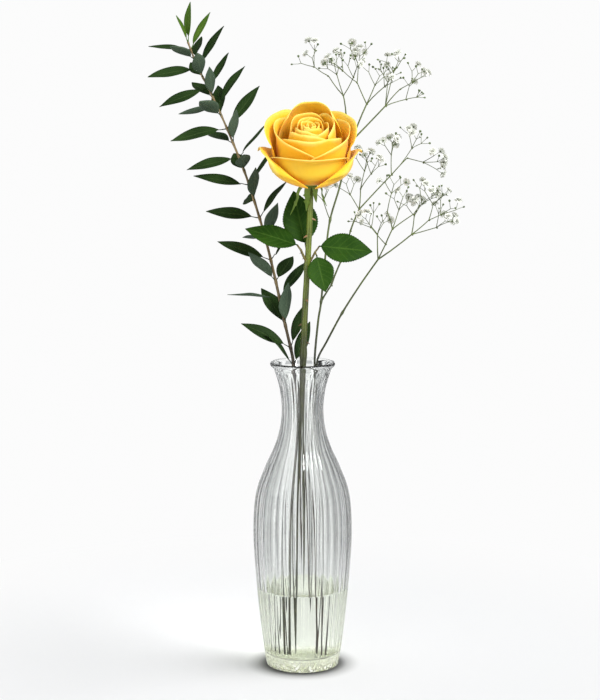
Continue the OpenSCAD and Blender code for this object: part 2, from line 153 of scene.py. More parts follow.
STEM_LINES = {
    "rose": stem_line(
        (-9.5, -2, 10.4),
        (0.3, -8, 240),
        [(2, -9.2, 285), (4.2, -10.6, 325), (5.4, -11.6, 352), (6, -12.5, 376.5)],
    ),
    "branch": stem_line(
        (13, -8, 10.4),
        (-7.3, 4, 240),
        [(-9, 5, 249), (-13.5, 7.5, 268), (-20.5, 11.5, 300), (-28.5, 16, 333), (-37.5, 20.5, 363)]
        + [(-45, 24, 385), (-53.5, 27, 406), (-62.5, 29, 427), (-72, 31, 447), (-81, 32, 465)]
        + [(-88, 32.5, 483)],
        4,
    ),
    "tall_spray": stem_line(
        (11, 1, 10.4),
        (9.3, 7, 240),
        [(12, 10, 270), (14.3, 12, 285), (17.7, 17, 321), (21.2, 23, 347), (28, 28, 370)]
        + [(34.5, 32, 395), (38.7, 34, 408)],
    ),
    "side_spray": stem_line(
        (-19, 6, 10.4), (11.5, 9.5, 240), [(19, 8.5, 255), (30.5, 6, 277), (44, 2.5, 299), (57.5, -1, 319)]
    ),
}
print("stem heights in mm:", {name: round(line[-1].z) for name, line in STEM_LINES.items()})

# %% [markdown]
# ## Finishes from nodes
# No surface on a plant is one flat colour. Every finish below mixes two or three colours with a
# noise, follows the leaf's veins with its UVs, and has its own roughness and bump.
# A small wrapper keeps the node code short: it makes a node, sets its inputs and links others.


# %% Node helpers
class Finish:
    def __init__(self, name):
        self.material = bpy.data.materials.new(name)
        self.material.use_nodes = True
        self.tree = self.material.node_tree
        self.tree.nodes.clear()
        self.output = self.tree.nodes.new("ShaderNodeOutputMaterial")

    def node(self, kind, inputs=None, **settings):
        made = self.tree.nodes.new("ShaderNode" + kind)
        for key, value in settings.items():
            setattr(made, key, value)
        for key, value in (inputs or {}).items():
            if isinstance(value, bpy.types.NodeSocket):
                self.tree.links.new(value, made.inputs[key])
            else:
                made.inputs[key].default_value = value
        return made

    def noise(self, scale, detail=3.0, where=None, roughness=0.5):
        inputs = {"Scale": scale, "Detail": detail, "Roughness": roughness}
        inputs["Vector"] = where if where is not None else self.node("TexCoord").outputs["Object"]
        return self.node("TexNoise", inputs).outputs["Fac"]

    def ramp(self, value, *stops):
        made = self.node("ValToRGB", {"Fac": value})
        elements = made.color_ramp.elements
        while len(elements) < len(stops):
            elements.new(0.5)
        for element, (place, colour) in zip(elements, stops):
            element.position = place
            element.color = (*colour, 1) if len(colour) == 3 else colour
        return made.outputs["Color"]

    def math(self, operation, a, b=0.0, clamp=False):
        return self.node("Math", {0: a, 1: b}, operation=operation, use_clamp=clamp).outputs[0]

    def mix(self, factor, a, b, blend="MIX"):
        made = self.node("MixRGB", {"Fac": factor, "Color1": a, "Color2": b}, blend_type=blend)
        return made.outputs["Color"]

    def bump(self, height, strength, distance=0.0005):
        made = self.node("Bump", {"Height": height, "Strength": strength, "Distance": distance})
        return made.outputs["Normal"]

    def surface(self, shader):
        self.tree.links.new(shader.outputs[0], self.output.inputs["Surface"])
        return self.material

    def principled(self, **inputs):
        names = {key.replace("_", " "): value for key, value in inputs.items()}
        return self.node("BsdfPrincipled", names)


def grey(level):
    return (level, level, level)


# %% [markdown]
# ### Glass and water
# Glass is a Principled shader with full transmission. Two details make it look right.
# Where water touches the inside of the wall, light passes from glass to water, so those faces use
# the ratio of the two indices, 1.5 / 1.33. Shadow rays pass through with a tint set by height: nearly
# clear higher up, because real glass focuses light instead of casting a solid shadow, and dark near
# the foot, a painted shadow that gives the vase a short dark shadow on the floor.
# The pressed foot is cloudier than the wall: up to about a centimetre the glass takes a pattern of
# cells, whose dark olive tint is painted sparkle and refracted colour, and a fine frosted stipple
# whose white specks are partly a frosted finish and partly painted sparkle.

# %% Glass and water finishes
FOOT_HEIGHT, SHADE_HEIGHT = 0.009, 0.12


def clear_finish(name, ior, tint, ripple=0.0, ripple_scale=60.0, speckle=0.0):
    """Clear glass or water with a soft ripple and a shadow painted darker near the foot, and a pressed,
    speckled foot with painted sparkle if asked.
    """
    f = Finish(name)
    height = f.noise(ripple_scale, 2.0)
    strength = ripple
    low = f.node("SeparateXYZ", {0: f.node("TexCoord").outputs["Object"]}).outputs["Z"]
    colour = (*tint, 1)
    if speckle:
        near_foot = f.math("SUBTRACT", 1.35, f.math("MULTIPLY", low, 1 / FOOT_HEIGHT), clamp=True)
        cells = f.node("TexVoronoi", {"Scale": 420.0}).outputs["Distance"]
        height = f.math("ADD", f.math("MULTIPLY", height, 0.3), f.math("MULTIPLY", cells, near_foot))
        strength = speckle
        # Painted sparkle: the cells tint the foot from dark olive to near white, for the glints and refracted
        # colour of a pressed foot.
        sparkle = f.ramp(cells, (0.15, (0.30, 0.36, 0.12)), (0.40, (1.0, 1.0, 0.86)))
        colour = f.mix(near_foot, colour, sparkle)
    glass = f.principled(
        Base_Color=colour, Roughness=0.0, IOR=ior, Transmission_Weight=1.0, Normal=f.bump(height, strength)
    )
    if speckle:
        # The white stipple is partly a frosted finish and partly painted sparkle.
        stipple = f.math("MULTIPLY", f.math("GREATER_THAN", f.noise(520.0, 1.0), 0.54), near_foot)
        chalky_sparkle = f.ramp(f.noise(300.0, 2.0), (0.35, (0.62, 0.66, 0.42)), (0.6, (0.98, 0.98, 0.93)))
        frost_and_sparkle = f.node("BsdfDiffuse", {"Color": chalky_sparkle})
        glass = f.node("MixShader", {0: stipple, 1: glass.outputs[0], 2: frost_and_sparkle.outputs[0]})
    # Painted shadow: shadow rays take a tint set by height, dark near the foot and nearly clear above it.
    tall = f.math("MULTIPLY", low, 1 / SHADE_HEIGHT, clamp=True)
    shade = f.ramp(tall, (0.0, grey(0.25)), (0.18, grey(0.62)), (0.42, grey(0.90)), (1.0, grey(0.995)))
    passing = f.node("BsdfTransparent", {"Color": shade})
    shadow_ray = f.node("LightPath").outputs["Is Shadow Ray"]
    return f.surface(f.node("MixShader", {0: shadow_ray, 1: glass.outputs[0], 2: passing.outputs[0]}))


def unseen_finish(name):
    """The water's own sides: the wet glass already draws that boundary."""
    f = Finish(name)
    return f.surface(f.node("BsdfTransparent", {"Color": (0.97, 0.98, 0.945, 1)}))


GLASS_IOR, WATER_IOR = 1.5, 1.33
glass_dry = clear_finish("glass", GLASS_IOR, (0.945, 0.96, 0.95), 0.12, 45.0, 0.9)
glass_wet = clear_finish("glass_against_water", GLASS_IOR / WATER_IOR, (0.975, 0.985, 0.955), 0.05)
water_top = clear_finish("water_surface", WATER_IOR, (0.90, 0.925, 0.80), 0.05, 90.0)
water_side = unseen_finish("water_sides")
print("glass against water bends light by", round(GLASS_IOR / WATER_IOR, 3))

# %% [markdown]
# ### Leaf finish
# A leaf's V runs from its stalk to its tip and its U across it, so the midrib is where U is one
# half. Side veins are a wave along V, pulled towards the tip as they leave the midrib. A little
# translucent light is mixed in, because a leaf glows when it is lit from behind.

# %% The leaf finish
VEIN_SHOW = 0.35


def leaf_finish(name, dark, light, vein, rough, veins=9.0):
    f = Finish(name)
    uv = f.node("SeparateXYZ", {0: f.node("UVMap").outputs["UV"]})
    off_mid = f.math("ABSOLUTE", f.math("SUBTRACT", uv.outputs["X"], 0.5))
    midrib = f.math("SUBTRACT", 1.0, f.math("MULTIPLY", off_mid, 22.0), clamp=True)
    slant = f.math("SUBTRACT", uv.outputs["Y"], f.math("MULTIPLY", off_mid, 0.55))
    wave = f.math("SINE", f.math("MULTIPLY", slant, veins * math.tau))
    side_veins = f.math("POWER", f.math("MULTIPLY", f.math("ADD", wave, 1.0), 0.5), 10.0)
    patches = f.noise(40.0, 4.0)
    colour = f.ramp(patches, (0.32, dark), (0.72, light))
    colour = f.mix(f.math("MULTIPLY", side_veins, VEIN_SHOW * 0.6), colour, (*vein, 1))
    colour = f.mix(f.math("MULTIPLY", midrib, VEIN_SHOW * 1.6, clamp=True), colour, (*vein, 1))
    height = f.math("ADD", f.math("MULTIPLY", side_veins, -0.5), f.math("MULTIPLY", f.noise(700.0), 0.4))
    body = f.principled(
        Base_Color=colour,
        Roughness=f.math("ADD", rough, f.math("MULTIPLY", patches, 0.15)),
        Specular_IOR_Level=0.05,
        Normal=f.bump(f.math("ADD", height, f.math("MULTIPLY", midrib, -0.8)), 0.5),
    )
    glow = f.node("BsdfTranslucent", {"Color": f.mix(0.5, colour, (0.22, 0.38, 0.02, 1))})
    return f.surface(f.node("MixShader", {0: 0.07, 1: body.outputs[0], 2: glow.outputs[0]}))


# %% [markdown]
# ### Stem finish
# Stems are streaked along their length and blotched across it, so one noise is stretched along V
# and another is not. Towards the bottom they are darkened and browned, fully inside the vase and
# fading out a little above its mouth: painted shade for the dimmer light in the glass.

# %% The stem finish
SHADE_PAINTED_BELOW, SHADE_GONE_ABOVE = 0.22, 0.33


def stem_finish(name, dark, light, rough=0.45, streak=0.6, blotch=150.0):
    f = Finish(name)
    uv = f.node("UVMap").outputs["UV"]
    streaks = f.noise(1.0, 4.0, f.node("Mapping", {0: uv, "Scale": (9.0, 0.7, 1.0)}).outputs[0])
    spots = f.noise(blotch, 4.0)
    both = f.math("ADD", f.math("MULTIPLY", streaks, streak), f.math("MULTIPLY", spots, 1 - streak))
    colour = f.ramp(both, (0.36, dark), (0.64, light))
    # Painted shade: towards the bottom the stem is darkened and browned, fully inside the vase, for the
    # dimmer light there.
    height = f.node("SeparateXYZ", {0: f.node("TexCoord").outputs["Object"]}).outputs["Z"]
    unshaded = f.node("MapRange", {0: height, 1: SHADE_PAINTED_BELOW, 2: SHADE_GONE_ABOVE}, interpolation_type="SMOOTHSTEP")
    fade = f.ramp(unshaded.outputs[0], (0.0, (0.12, 0.10, 0.06)), (1.0, grey(1.0)))
    colour = f.mix(1.0, colour, fade, "MULTIPLY")
    body = f.principled(Base_Color=colour, Roughness=rough, Normal=f.bump(both, 0.35))
    return f.surface(body)


# %% [markdown]
# ### Petal finish
# A petal is velvety and lets light through. Sheen gives the velvet, a translucent shader gives the
# glow, and V carries the colour from the deep claw to the pale rim. The deep claw is painted shade
# down in the flower, on the rose partly also its own deeper tone, and the pale rim is partly a painted
# highlight. Ribs are a noise stretched along the petal, so they run the way real petal veins do.


# %% The petal finish
def petal_finish(name, deep, mid, pale, glow=0.35):
    """Deep at the claw and in folds, partly as painted shade; pale along the rim, partly as a painted
    highlight; with fine lengthwise ribs.
    """
    f = Finish(name)
    uv = f.node("UVMap").outputs["UV"]
    along = f.node("SeparateXYZ", {0: uv}).outputs["Y"]
    ribs = f.noise(1.0, 3.0, f.node("Mapping", {0: uv, "Scale": (34.0, 1.6, 1.0)}).outputs[0])
    cloudy = f.noise(55.0, 3.0)
    place = f.math("ADD", along, f.math("MULTIPLY", f.math("SUBTRACT", cloudy, 0.5), 0.25))
    # Painted light: the deep colour at the claw is painted shade down in the flower, and the pale rim is
    # partly a painted highlight.
    colour = f.ramp(place, (0.0, deep), (0.55, mid), (0.9, mid), (1.0, pale))
    colour = f.mix(f.math("MULTIPLY", ribs, 0.12), colour, (*deep, 1))
    body = f.principled(
        Base_Color=colour,
        Roughness=0.5,
        Specular_IOR_Level=0.25,
        Sheen_Weight=0.25,
        Sheen_Roughness=0.4,
        Normal=f.bump(ribs, 0.25),
    )
    through = f.node("BsdfTranslucent", {"Color": f.mix(0.35, colour, (*deep, 1))})
    return f.surface(f.node("MixShader", {0: glow, 1: body.outputs[0], 2: through.outputs[0]}))


# %% [markdown]
# ### Mixing the plant's colours
# Each plant part is now one call with a dark and a light colour, so that all leaves share one
# recipe and still differ. Undersides are paler and rougher than the faces above them.

# %% All plant finishes
branch_top = leaf_finish(
    "branch_leaf_top", (0.009, 0.023, 0.005), (0.022, 0.050, 0.011), (0.06, 0.10, 0.03), 0.45
)
branch_under = leaf_finish(
    "branch_leaf_under", (0.045, 0.072, 0.046), (0.085, 0.125, 0.080), (0.13, 0.18, 0.11), 0.6
)
young_top = leaf_finish("young_leaf_top", (0.04, 0.10, 0.01), (0.09, 0.17, 0.02), (0.16, 0.25, 0.06), 0.45)
rose_leaf_top = leaf_finish(
    "rose_leaf_top", (0.010, 0.038, 0.003), (0.026, 0.075, 0.006), (0.06, 0.13, 0.018), 0.45, 7.0
)
rose_leaf_under = leaf_finish(
    "rose_leaf_under", (0.03, 0.075, 0.02), (0.06, 0.12, 0.035), (0.10, 0.17, 0.06), 0.6, 7.0
)
sepal_green = leaf_finish("sepal", (0.09, 0.17, 0.02), (0.22, 0.31, 0.07), (0.25, 0.34, 0.12), 0.5, 5.0)
bark = stem_finish("bark", (0.07, 0.048, 0.015), (0.25, 0.17, 0.06), 0.55, 0.5)
rose_green = stem_finish("rose_stem", (0.05, 0.065, 0.006), (0.17, 0.23, 0.015), 0.4, 0.5, 70.0)
prickle_brown = stem_finish("prickle", (0.16, 0.08, 0.03), (0.35, 0.2, 0.09), 0.4)
stalk_red = stem_finish("leaf_stalk", (0.07, 0.045, 0.012), (0.16, 0.14, 0.03), 0.4, 0.4, 200.0)
spray_green = stem_finish("spray_stem", (0.035, 0.05, 0.008), (0.10, 0.14, 0.022), 0.5, 0.5, 120.0)
calyx_green = stem_finish("calyx", (0.025, 0.05, 0.008), (0.09, 0.14, 0.03), 0.5, 0.2, 300.0)
cut_pith = stem_finish("cut_end", (0.35, 0.38, 0.18), (0.6, 0.6, 0.4), 0.7)
# The rose's deep orange is partly its own tone and partly painted shade; its pale rim is partly a painted
# highlight.
yellow_in = petal_finish("petal_inside", (1.0, 0.56, 0.012), (1.0, 0.76, 0.05), (1.0, 0.86, 0.20), 0.4)
yellow_out = petal_finish("petal_outside", (0.97, 0.42, 0.010), (1.0, 0.70, 0.04), (1.0, 0.85, 0.20), 0.3)
# The florets' grey-green deep colour is painted shade in their creases.
floret_white = petal_finish("floret_white", (0.58, 0.61, 0.50), (0.84, 0.85, 0.80), (0.95, 0.95, 0.93), 0.2)
print("finishes made:", len(bpy.data.materials))

# %% [markdown]
# ## The glass vase
# The real vase was blown or pressed in a fluted mould. A stack of cylinders cut by a Boolean could
# copy it, but leaves rough edges that glass shows at once. Here every point comes from a formula:
# one profile is turned round the axis, and each ring is pushed in between the flutes. The flutes
# fade out at the foot and below the lip.

# %% Outline and flutes
FLUTES, FLUTE_DEPTH, WALL, FLOOR, WATER_LEVEL = 32, 0.9, 3.0, 9.0, 62.0
OUTLINE = [(0, 27.2), (3, 28.6), (24, 31.8), (64, 35.9), (104, 38.3), (136, 36.3)]
OUTLINE += [(158, 28.9), (173, 22), (188, 17.5), (204, 16.05), (220, 17.9), (234, 22)]
COLUMNS = 10
PRISM_DEPTH = 1.5
WALL_RIPPLE = 0.25


def outer_profile(steps):
    return [(p.x, p.y) for p in smooth_line([(z, r, 0) for z, r in OUTLINE], steps)]


def flute_depth(z, r):
    """Full on the belly, shallower where the vase is narrow, gone at the foot and below the lip."""
    return FLUTE_DEPTH * (r / 38) ** 1.5 * min(1, max(0, (z - 2) / 14)) * min(1, max(0, (233 - z) / 16))


def glass_ring(z, r, depth=0.0, ripple=0.0):
    around = FLUTES * COLUMNS
    ring = []
    for k in range(around):
        a = math.tau * k / around
        valley = math.sin(math.pi * (k % COLUMNS) / COLUMNS)
        wobble = ripple * noise.noise(Vector((math.cos(a) * 2.5, math.sin(a) * 2.5, z * 0.02)))
        d = r - depth * valley + wobble
        ring.append((d * math.cos(a), d * math.sin(a), z))
    return ring


def prism_ring(z, r):
    """A ring of the underside, pressed into upright-edged prisms that sparkle."""
    deep = PRISM_DEPTH * math.sin(math.pi * min(1, max(0, (r - 11) / 14)))
    ring = []
    for k, (x, y, _) in enumerate(glass_ring(z, r)):
        ring.append((x, y, z + deep * abs(k % COLUMNS - COLUMNS / 2) * 2 / COLUMNS))
    return ring


side = outer_profile(9)
print("points on a ring:", FLUTES * COLUMNS, "rings up the side:", len(side))

# %% [markdown]
# ### Turning the glass
# Glass must be a closed skin, outside and inside, or light bends wrongly in it. So one row of rings
# goes from the middle of the underside, up the outside, over the lip and down the inside to the
# floor. The inside wall has no flutes, only a faint ripple from moulding. Its rings below the water
# use the wet glass.

# %% The glass
lip = [(235.4, 23.0), (236.6, 24.3), (237.8, 24.95), (238.8, 25.0), (239.6, 24.4), (240, 23.3), (239.8, 22.2)]
lip += [(239.0, 21.2), (237.4, 20.4), (235.4, 19.7)]
wall_in = [(z, r - WALL) for z, r in reversed(side) if 17 < z < 233]
heel_in = [(14, 27.6), (12, 26.9), (10.5, 25.4), (9.4, 23.4)]
heel_in += [(FLOOR, 21), (FLOOR, 15), (FLOOR + 0.4, 8), (FLOOR + 0.5, 0.2)]
foot = [(1.4, 0.2), (1.2, 8), (1.1, 11), (0.9, 14), (0.7, 17), (0.45, 19.5)]
foot += [(0.1, 22.8), (0, 25), (0, 25.8), (0.25, 26.6)]
vase = Mesher()
rows = [prism_ring(z, r) for z, r in foot]
rows += [glass_ring(z, r, flute_depth(z, r)) for z, r in side if z > 0.5]
rows += [glass_ring(z, r) for z, r in lip]
vase.skin(rows, 0, closed=True)
dry_in = [lip[-1]] + [(z, r) for z, r in wall_in if z >= WATER_LEVEL]
wet_in = [(z, r) for z, r in wall_in if z < WATER_LEVEL] + heel_in
level = (WATER_LEVEL, dry_in[-1][1] * 0.5 + wet_in[0][1] * 0.5)
vase.skin([glass_ring(z, r, 0, WALL_RIPPLE) for z, r in dry_in + [level]], 0, closed=True)
vase.skin([glass_ring(z, r, 0, WALL_RIPPLE) for z, r in [level] + wet_in], 1, closed=True)
around = list(range(FLUTES * COLUMNS))
no_uvs = [(0, 0)] * len(around)
vase.add(glass_ring(*foot[0]), [around[::-1]], 0, no_uvs)
vase.add(glass_ring(*heel_in[-1], 0, WALL_RIPPLE), [around], 1, no_uvs)
glass_vase = vase.piece("fluted_glass_vase", "vase", ["vase_body"], [glass_dry, glass_wet], "clear_glass")
print("vase faces:", len(glass_vase.data.polygons))

# %% [markdown]
# ### The water
# Still water climbs the glass a little at its edge. That rim, the meniscus, draws the bright line
# that shows where the water ends. The water is a closed skin a hair inside the wall: its top bends
# light, and its sides are left unseen because the wet glass already stands for that boundary.

# %% The water
GAP = 0.12
edge = level[1] - 0.35
meniscus = [(WATER_LEVEL + 0.9, edge), (WATER_LEVEL + 0.35, edge - 0.5), (WATER_LEVEL + 0.05, edge - 1.6)]
meniscus += [(WATER_LEVEL, edge - 3), (WATER_LEVEL, 12), (WATER_LEVEL, 0.2)]
under_water = [(z, max(0.2, r - GAP - WALL_RIPPLE)) for z, r in reversed(wet_in)]
under_water = [(z + GAP + 0.1 if r < 26 else z, r) for z, r in under_water]
water = Mesher()
water.skin([glass_ring(z, r) for z, r in under_water + [meniscus[0]]], 1, closed=True)
water.skin([glass_ring(z, r) for z, r in meniscus], 0, closed=True)
water.add(glass_ring(*meniscus[-1]), [around], 0, no_uvs)
still_water = water.piece("still_water", "vase", ["water"], [water_top, water_side], "water")
print("water faces:", len(still_water.data.polygons))

# %% [markdown]
# ## Thin sheets
# A petal or a leaf is a grid of points with almost no thickness. A Solidify modifier could thicken
# it, but here the second layer is made by hand: it lies just below the first, gets thinner towards
# the sides, and takes its own material number, so that the underside can have another finish.


# %% The sheet maker
def add_sheet(mesher, rows, thickness, top=0, under=1):
    """A thin solid: rows of points, a second layer below them and a rim between the two."""
    last, n = len(rows) - 1, len(rows[0])
    upper = [Vector(p) for row in rows for p in row]
    uvs = [(k / (n - 1), i / last) for i in range(last + 1) for k in range(n)]
    lower = []
    for i in range(last + 1):
        for k in range(n):
            along = upper[min(i + 1, last) * n + k] - upper[max(i - 1, 0) * n + k]
            side_way = upper[i * n + min(k + 1, n - 1)] - upper[i * n + max(k - 1, 0)]
            face = side_way.cross(along)
            face = face.normalized() if face.length > 1e-9 else Vector((0, 0, 1))
            thinning = min(1.0, 0.35 + 4 * min(k, n - 1 - k) / n)
            lower.append(upper[i * n + k] - face * thickness * thinning)
    quads = [
        [i * n + k, i * n + k + 1, (i + 1) * n + k + 1, (i + 1) * n + k]
        for i in range(last)
        for k in range(n - 1)
    ]
    mesher.add(upper, quads, top, uvs)
    mesher.add(lower, [q[::-1] for q in quads], under, uvs)
    size = len(upper)
    start = len(mesher.points) - 2 * size
    loop = (
        list(range(n))
        + [i * n + n - 1 for i in range(1, last + 1)]
        + [last * n + k for k in range(n - 2, -1, -1)]
        + [i * n for i in range(last - 1, 0, -1)]
    )
    for a, b in zip(loop, loop[1:] + loop[:1]):
        mesher.faces.append([start + b, start + a, start + size + a, start + size + b])
        mesher.marks.append(top)
        mesher.uvs.append([uvs[b], uvs[a], uvs[a], uvs[b]])


# %% [markdown]
# ## The rose
# A rose is a tight spiral of petals that get larger, lower and more open outwards. Each could be
# sculpted by hand. Here a petal is a curved sheet described by a few plain numbers, so the whole
# flower is one short table: which way the petal faces, how far down the hip it grows, how tall it
# is, how far out its belly and its rim stand, how wide it is, and how much its rim rolls back.

# %% The shape of one petal
HEAD = Matrix.Translation(STEM_LINES["rose"][-1]) @ Matrix.Rotation(math.radians(25), 4, "X")
PETAL_STEPS = 20
PETAL_THICKNESS = 0.45
BELLY_AT = 0.55


def smoothstep(low, high, x):
    t = min(1.0, max(0.0, (x - low) / (high - low)))
    return t * t * (3 - 2 * t)


def petal_rows(turn, root, height, belly, rim, half, roll, seed, taper=0.0, tilt=0.0):
    """Points of a petal, upright in the flower: rows from its claw to its rim."""
    root_r, root_z = 1.9 + 4 * root, 9.2 - 5.4 * root
    rows = []
    for i in range(PETAL_STEPS + 1):
        v = i / PETAL_STEPS
        rise = min(1.0, v / BELLY_AT)
        over = max(0.0, (v - BELLY_AT) / (1 - BELLY_AT))
        row = []
        for k in range(PETAL_STEPS + 1):
            u = -1 + 2 * k / PETAL_STEPS
            crown = 1 - (0.13 + 0.2 * taper) * abs(u) ** 3
            curl = smoothstep(0.78, 1.0, max(v, abs(u) * (0.3 + 0.7 * v)))
            r = root_r + (belly - root_r) * math.sin(rise**0.75 * math.pi / 2) + (rim - belly) * over * over
            r += roll * curl * (0.5 + 0.5 * v)
            z = root_z + (height - root_z) * v * crown + tilt * v * u
            z -= roll * 0.6 * curl * curl
            z += 4.5 * taper * u * u * (1 - v) ** 2
            spread = math.radians(half) * (0.42 + 0.58 * math.sin(min(1, v / 0.5) * math.pi / 2))
            spread *= 1 - 0.12 * over * over - taper * v * v
            ripple = noise.noise(Vector((u * 1.6 + seed * 7.3, v * 2.2, seed * 3.1)))
            r += 1.0 * ripple * v * v
            z += 1.1 * noise.noise(Vector((u * 2.3 + seed * 5.1, 3.7, seed))) * v**3
            a = math.radians(turn) + u * spread
            row.append(HEAD @ Vector((r * math.cos(a), r * math.sin(a), z)))
        rows.append(row)
    return rows


# %% [markdown]
# ### Fifteen petals
# The first petals stand upright round the heart and the last two are wide guard petals that lean
# out. Each petal is its own piece, so that one can be taken off. The outside finish is the sheet's
# top and the inside finish its underside.

# %% The petals
# turn, root, height, belly, rim, half width in degrees, roll of the rim, taper of the tip, tilt
PETALS = [
    (100, 0.05, 52, 11.2, 9.9, 88, 0.5, 0, 0),
    (235, 0.10, 51, 12.6, 11.1, 84, 0.5, 0, 0),
    (345, 0.16, 51, 14.3, 12.6, 80, 0.5, 0, 0),
    (115, 0.24, 54, 16.3, 14, 80, 0.5, 0, 0),
    (250, 0.30, 50, 17.4, 15.4, 76, 0.5, 0, 0),
    (20, 0.37, 54, 19.1, 16.6, 70, 0.4, 0, 0),
    (92, 0.46, 61.5, 24.8, 17, 82, 0.4, 0, 0),
    (272, 0.50, 50, 23, 22.5, 78, 1.4, 0, 0),
    (200, 0.57, 49, 25.5, 26.5, 84, 1.6, 0, -3),
    (340, 0.64, 47, 27.5, 28, 78, 1.6, 0, 3),
    (152, 0.72, 51, 29.5, 32.5, 54, 1.6, 0, 0),
    (28, 0.79, 50, 29.8, 32.3, 54, 1.8, 0, 0),
    (268, 0.86, 42, 30, 30, 62, 5, 0, 0),
    (203, 0.93, 37, 32, 37, 72, 1.8, 0.6, -2),
    (335, 1, 36, 32, 36, 68, 1.8, 0.6, 2),
]
for i, (*shape, taper, tilt) in enumerate(PETALS):
    petal = Mesher()
    add_sheet(petal, petal_rows(*shape, i + 1, taper, tilt), PETAL_THICKNESS)
    petal.piece(f"petal_{i + 1:02d}", "rose", [f"rose_petal_{i + 1}"], [yellow_out, yellow_in], "petal")
print("petals:", len(PETALS))

# %% [markdown]
# ### The heart
# The heart is nine small rolled petals in one piece, since they can't be told apart once they are
# closed. They turn by the golden angle, which is how real petals avoid lining up.

# %% The heart
GOLDEN_TURN, HEART_PETALS = 137.5, 9
heart = Mesher()
for i in range(HEART_PETALS):
    r = 1.2 + 0.95 * i
    shape = (40 + GOLDEN_TURN * i, 0.0, 51 + 0.1 * i, r + 1.5, r, 100 - 2 * i, 0.4)
    add_sheet(heart, petal_rows(*shape, 30 + i), PETAL_THICKNESS)
heart.piece("rose_heart_petals", "rose", ["rose_heart"], [yellow_out, yellow_in], "petal")
print("petals in the heart:", HEART_PETALS)

# %% [markdown]
# ## Round tubes
# Stems, twigs and prickles are all round, and get thinner along a line. A curve with a bevel would
# give that too, but mesh rings let one helper close the ends and colour the cut end as pith. The
# frame of each ring is carried over from the one before it, so the tube never twists.


# %% The tube maker
def circle_point(centre, r, a, e, f):
    return centre + r * (math.cos(a) * e + math.sin(a) * f)


def add_tube(mesher, line, radii, sides=8, mark=0, end_mark=None):
    """A round tube along a line, closed at both ends."""
    line = [Vector(p) for p in line]
    last = len(line) - 1
    rows, lengths, across = [], [0.0], None
    for i, p in enumerate(line):
        t = (line[min(i + 1, last)] - line[max(i - 1, 0)]).normalized()
        if across is None:
            across = t.orthogonal().normalized()
        across = (across - t * across.dot(t)).normalized()
        other = t.cross(across)
        r = radii[i] if isinstance(radii, (list, tuple)) else radii
        rows.append([circle_point(p, r, math.tau * k / sides, across, other) for k in range(sides)])
        if i:
            lengths.append(lengths[-1] + (p - line[i - 1]).length)
    uvs = [(k / sides, length / 10) for length in lengths for k in range(sides)]
    mesher.skin(rows, mark, closed=True, uvs=uvs)
    end = mark if end_mark is None else end_mark
    mesher.add(rows[0], [list(range(sides))[::-1]], end, [(0, 0)] * sides)
    mesher.add(rows[-1], [list(range(sides))], mark, [(0, 0)] * sides)


# %% [markdown]
# ### Rose stem
# The stem thickens a little where a leaf grows or once grew. Each swelling is a bell curve added
# to the radius, and a faint noise keeps the rest from looking machined.


# %% The rose stem
def stem_radii(line, base, top, swellings=(), swell=0.5, spread=5.0):
    radii = []
    for i, p in enumerate(line):
        r = base + (top - base) * i / (len(line) - 1)
        for z in swellings:
            r += swell * math.exp(-(((p.z - z) / spread) ** 2))
        radii.append(r + 0.05 * base * noise.noise(p * 0.09))
    return radii


def finer(line, pieces=3):
    return [a.lerp(b, j / pieces) for a, b in zip(line, line[1:]) for j in range(pieces)] + [line[-1]]


rose_line = finer(STEM_LINES["rose"])
stem = Mesher()
add_tube(stem, rose_line, stem_radii(rose_line, 2.55, 2.15, (316, 247), 0.55), 16, 0, 1)
stem.piece("rose_stem_green", "rose", ["rose_stem"], [rose_green, cut_pith], "rose_stem")
print("rose stem points:", len(rose_line))

# %% [markdown]
# ### The hip
# The hip is the green knob under the petals. It is a small turned profile, like the vase, but each
# ring is tilted with the flower's head by the same matrix that places the petals.

# %% The hip
hip = Mesher()
hip_side = [(-1.5, 2.3), (-0.2, 3.2), (0.8, 4.8), (2.2, 5.9), (3.6, 6.0), (5.2, 4.8), (7.4, 3.3), (9.4, 1.8)]
hip_side += [(9.8, 0.1)]
HIP_SIDES = 24


def hip_ring(z, r):
    turns = [math.tau * k / HIP_SIDES for k in range(HIP_SIDES)]
    return [HEAD @ Vector((r * math.cos(a), r * math.sin(a), z)) for a in turns]


hip.skin([hip_ring(z, r) for z, r in hip_side], closed=True)
hip.add(hip_ring(*hip_side[0]), [list(range(HIP_SIDES))[::-1]], 0, [(0, 0)] * HIP_SIDES)
hip.piece("rose_hip_green", "rose", ["rose_hip"], [sepal_green], "rose_stem")
print("hip length in mm:", round(hip_side[-1][0] - hip_side[0][0], 1))

# %% [markdown]
# ### Sepals
# Sepals hang from the hip once the flower is open. Each is a narrow sheet that tapers to a thread
# and bends down. Widening two of its rows is enough for the tiny side lobes that rose sepals have.

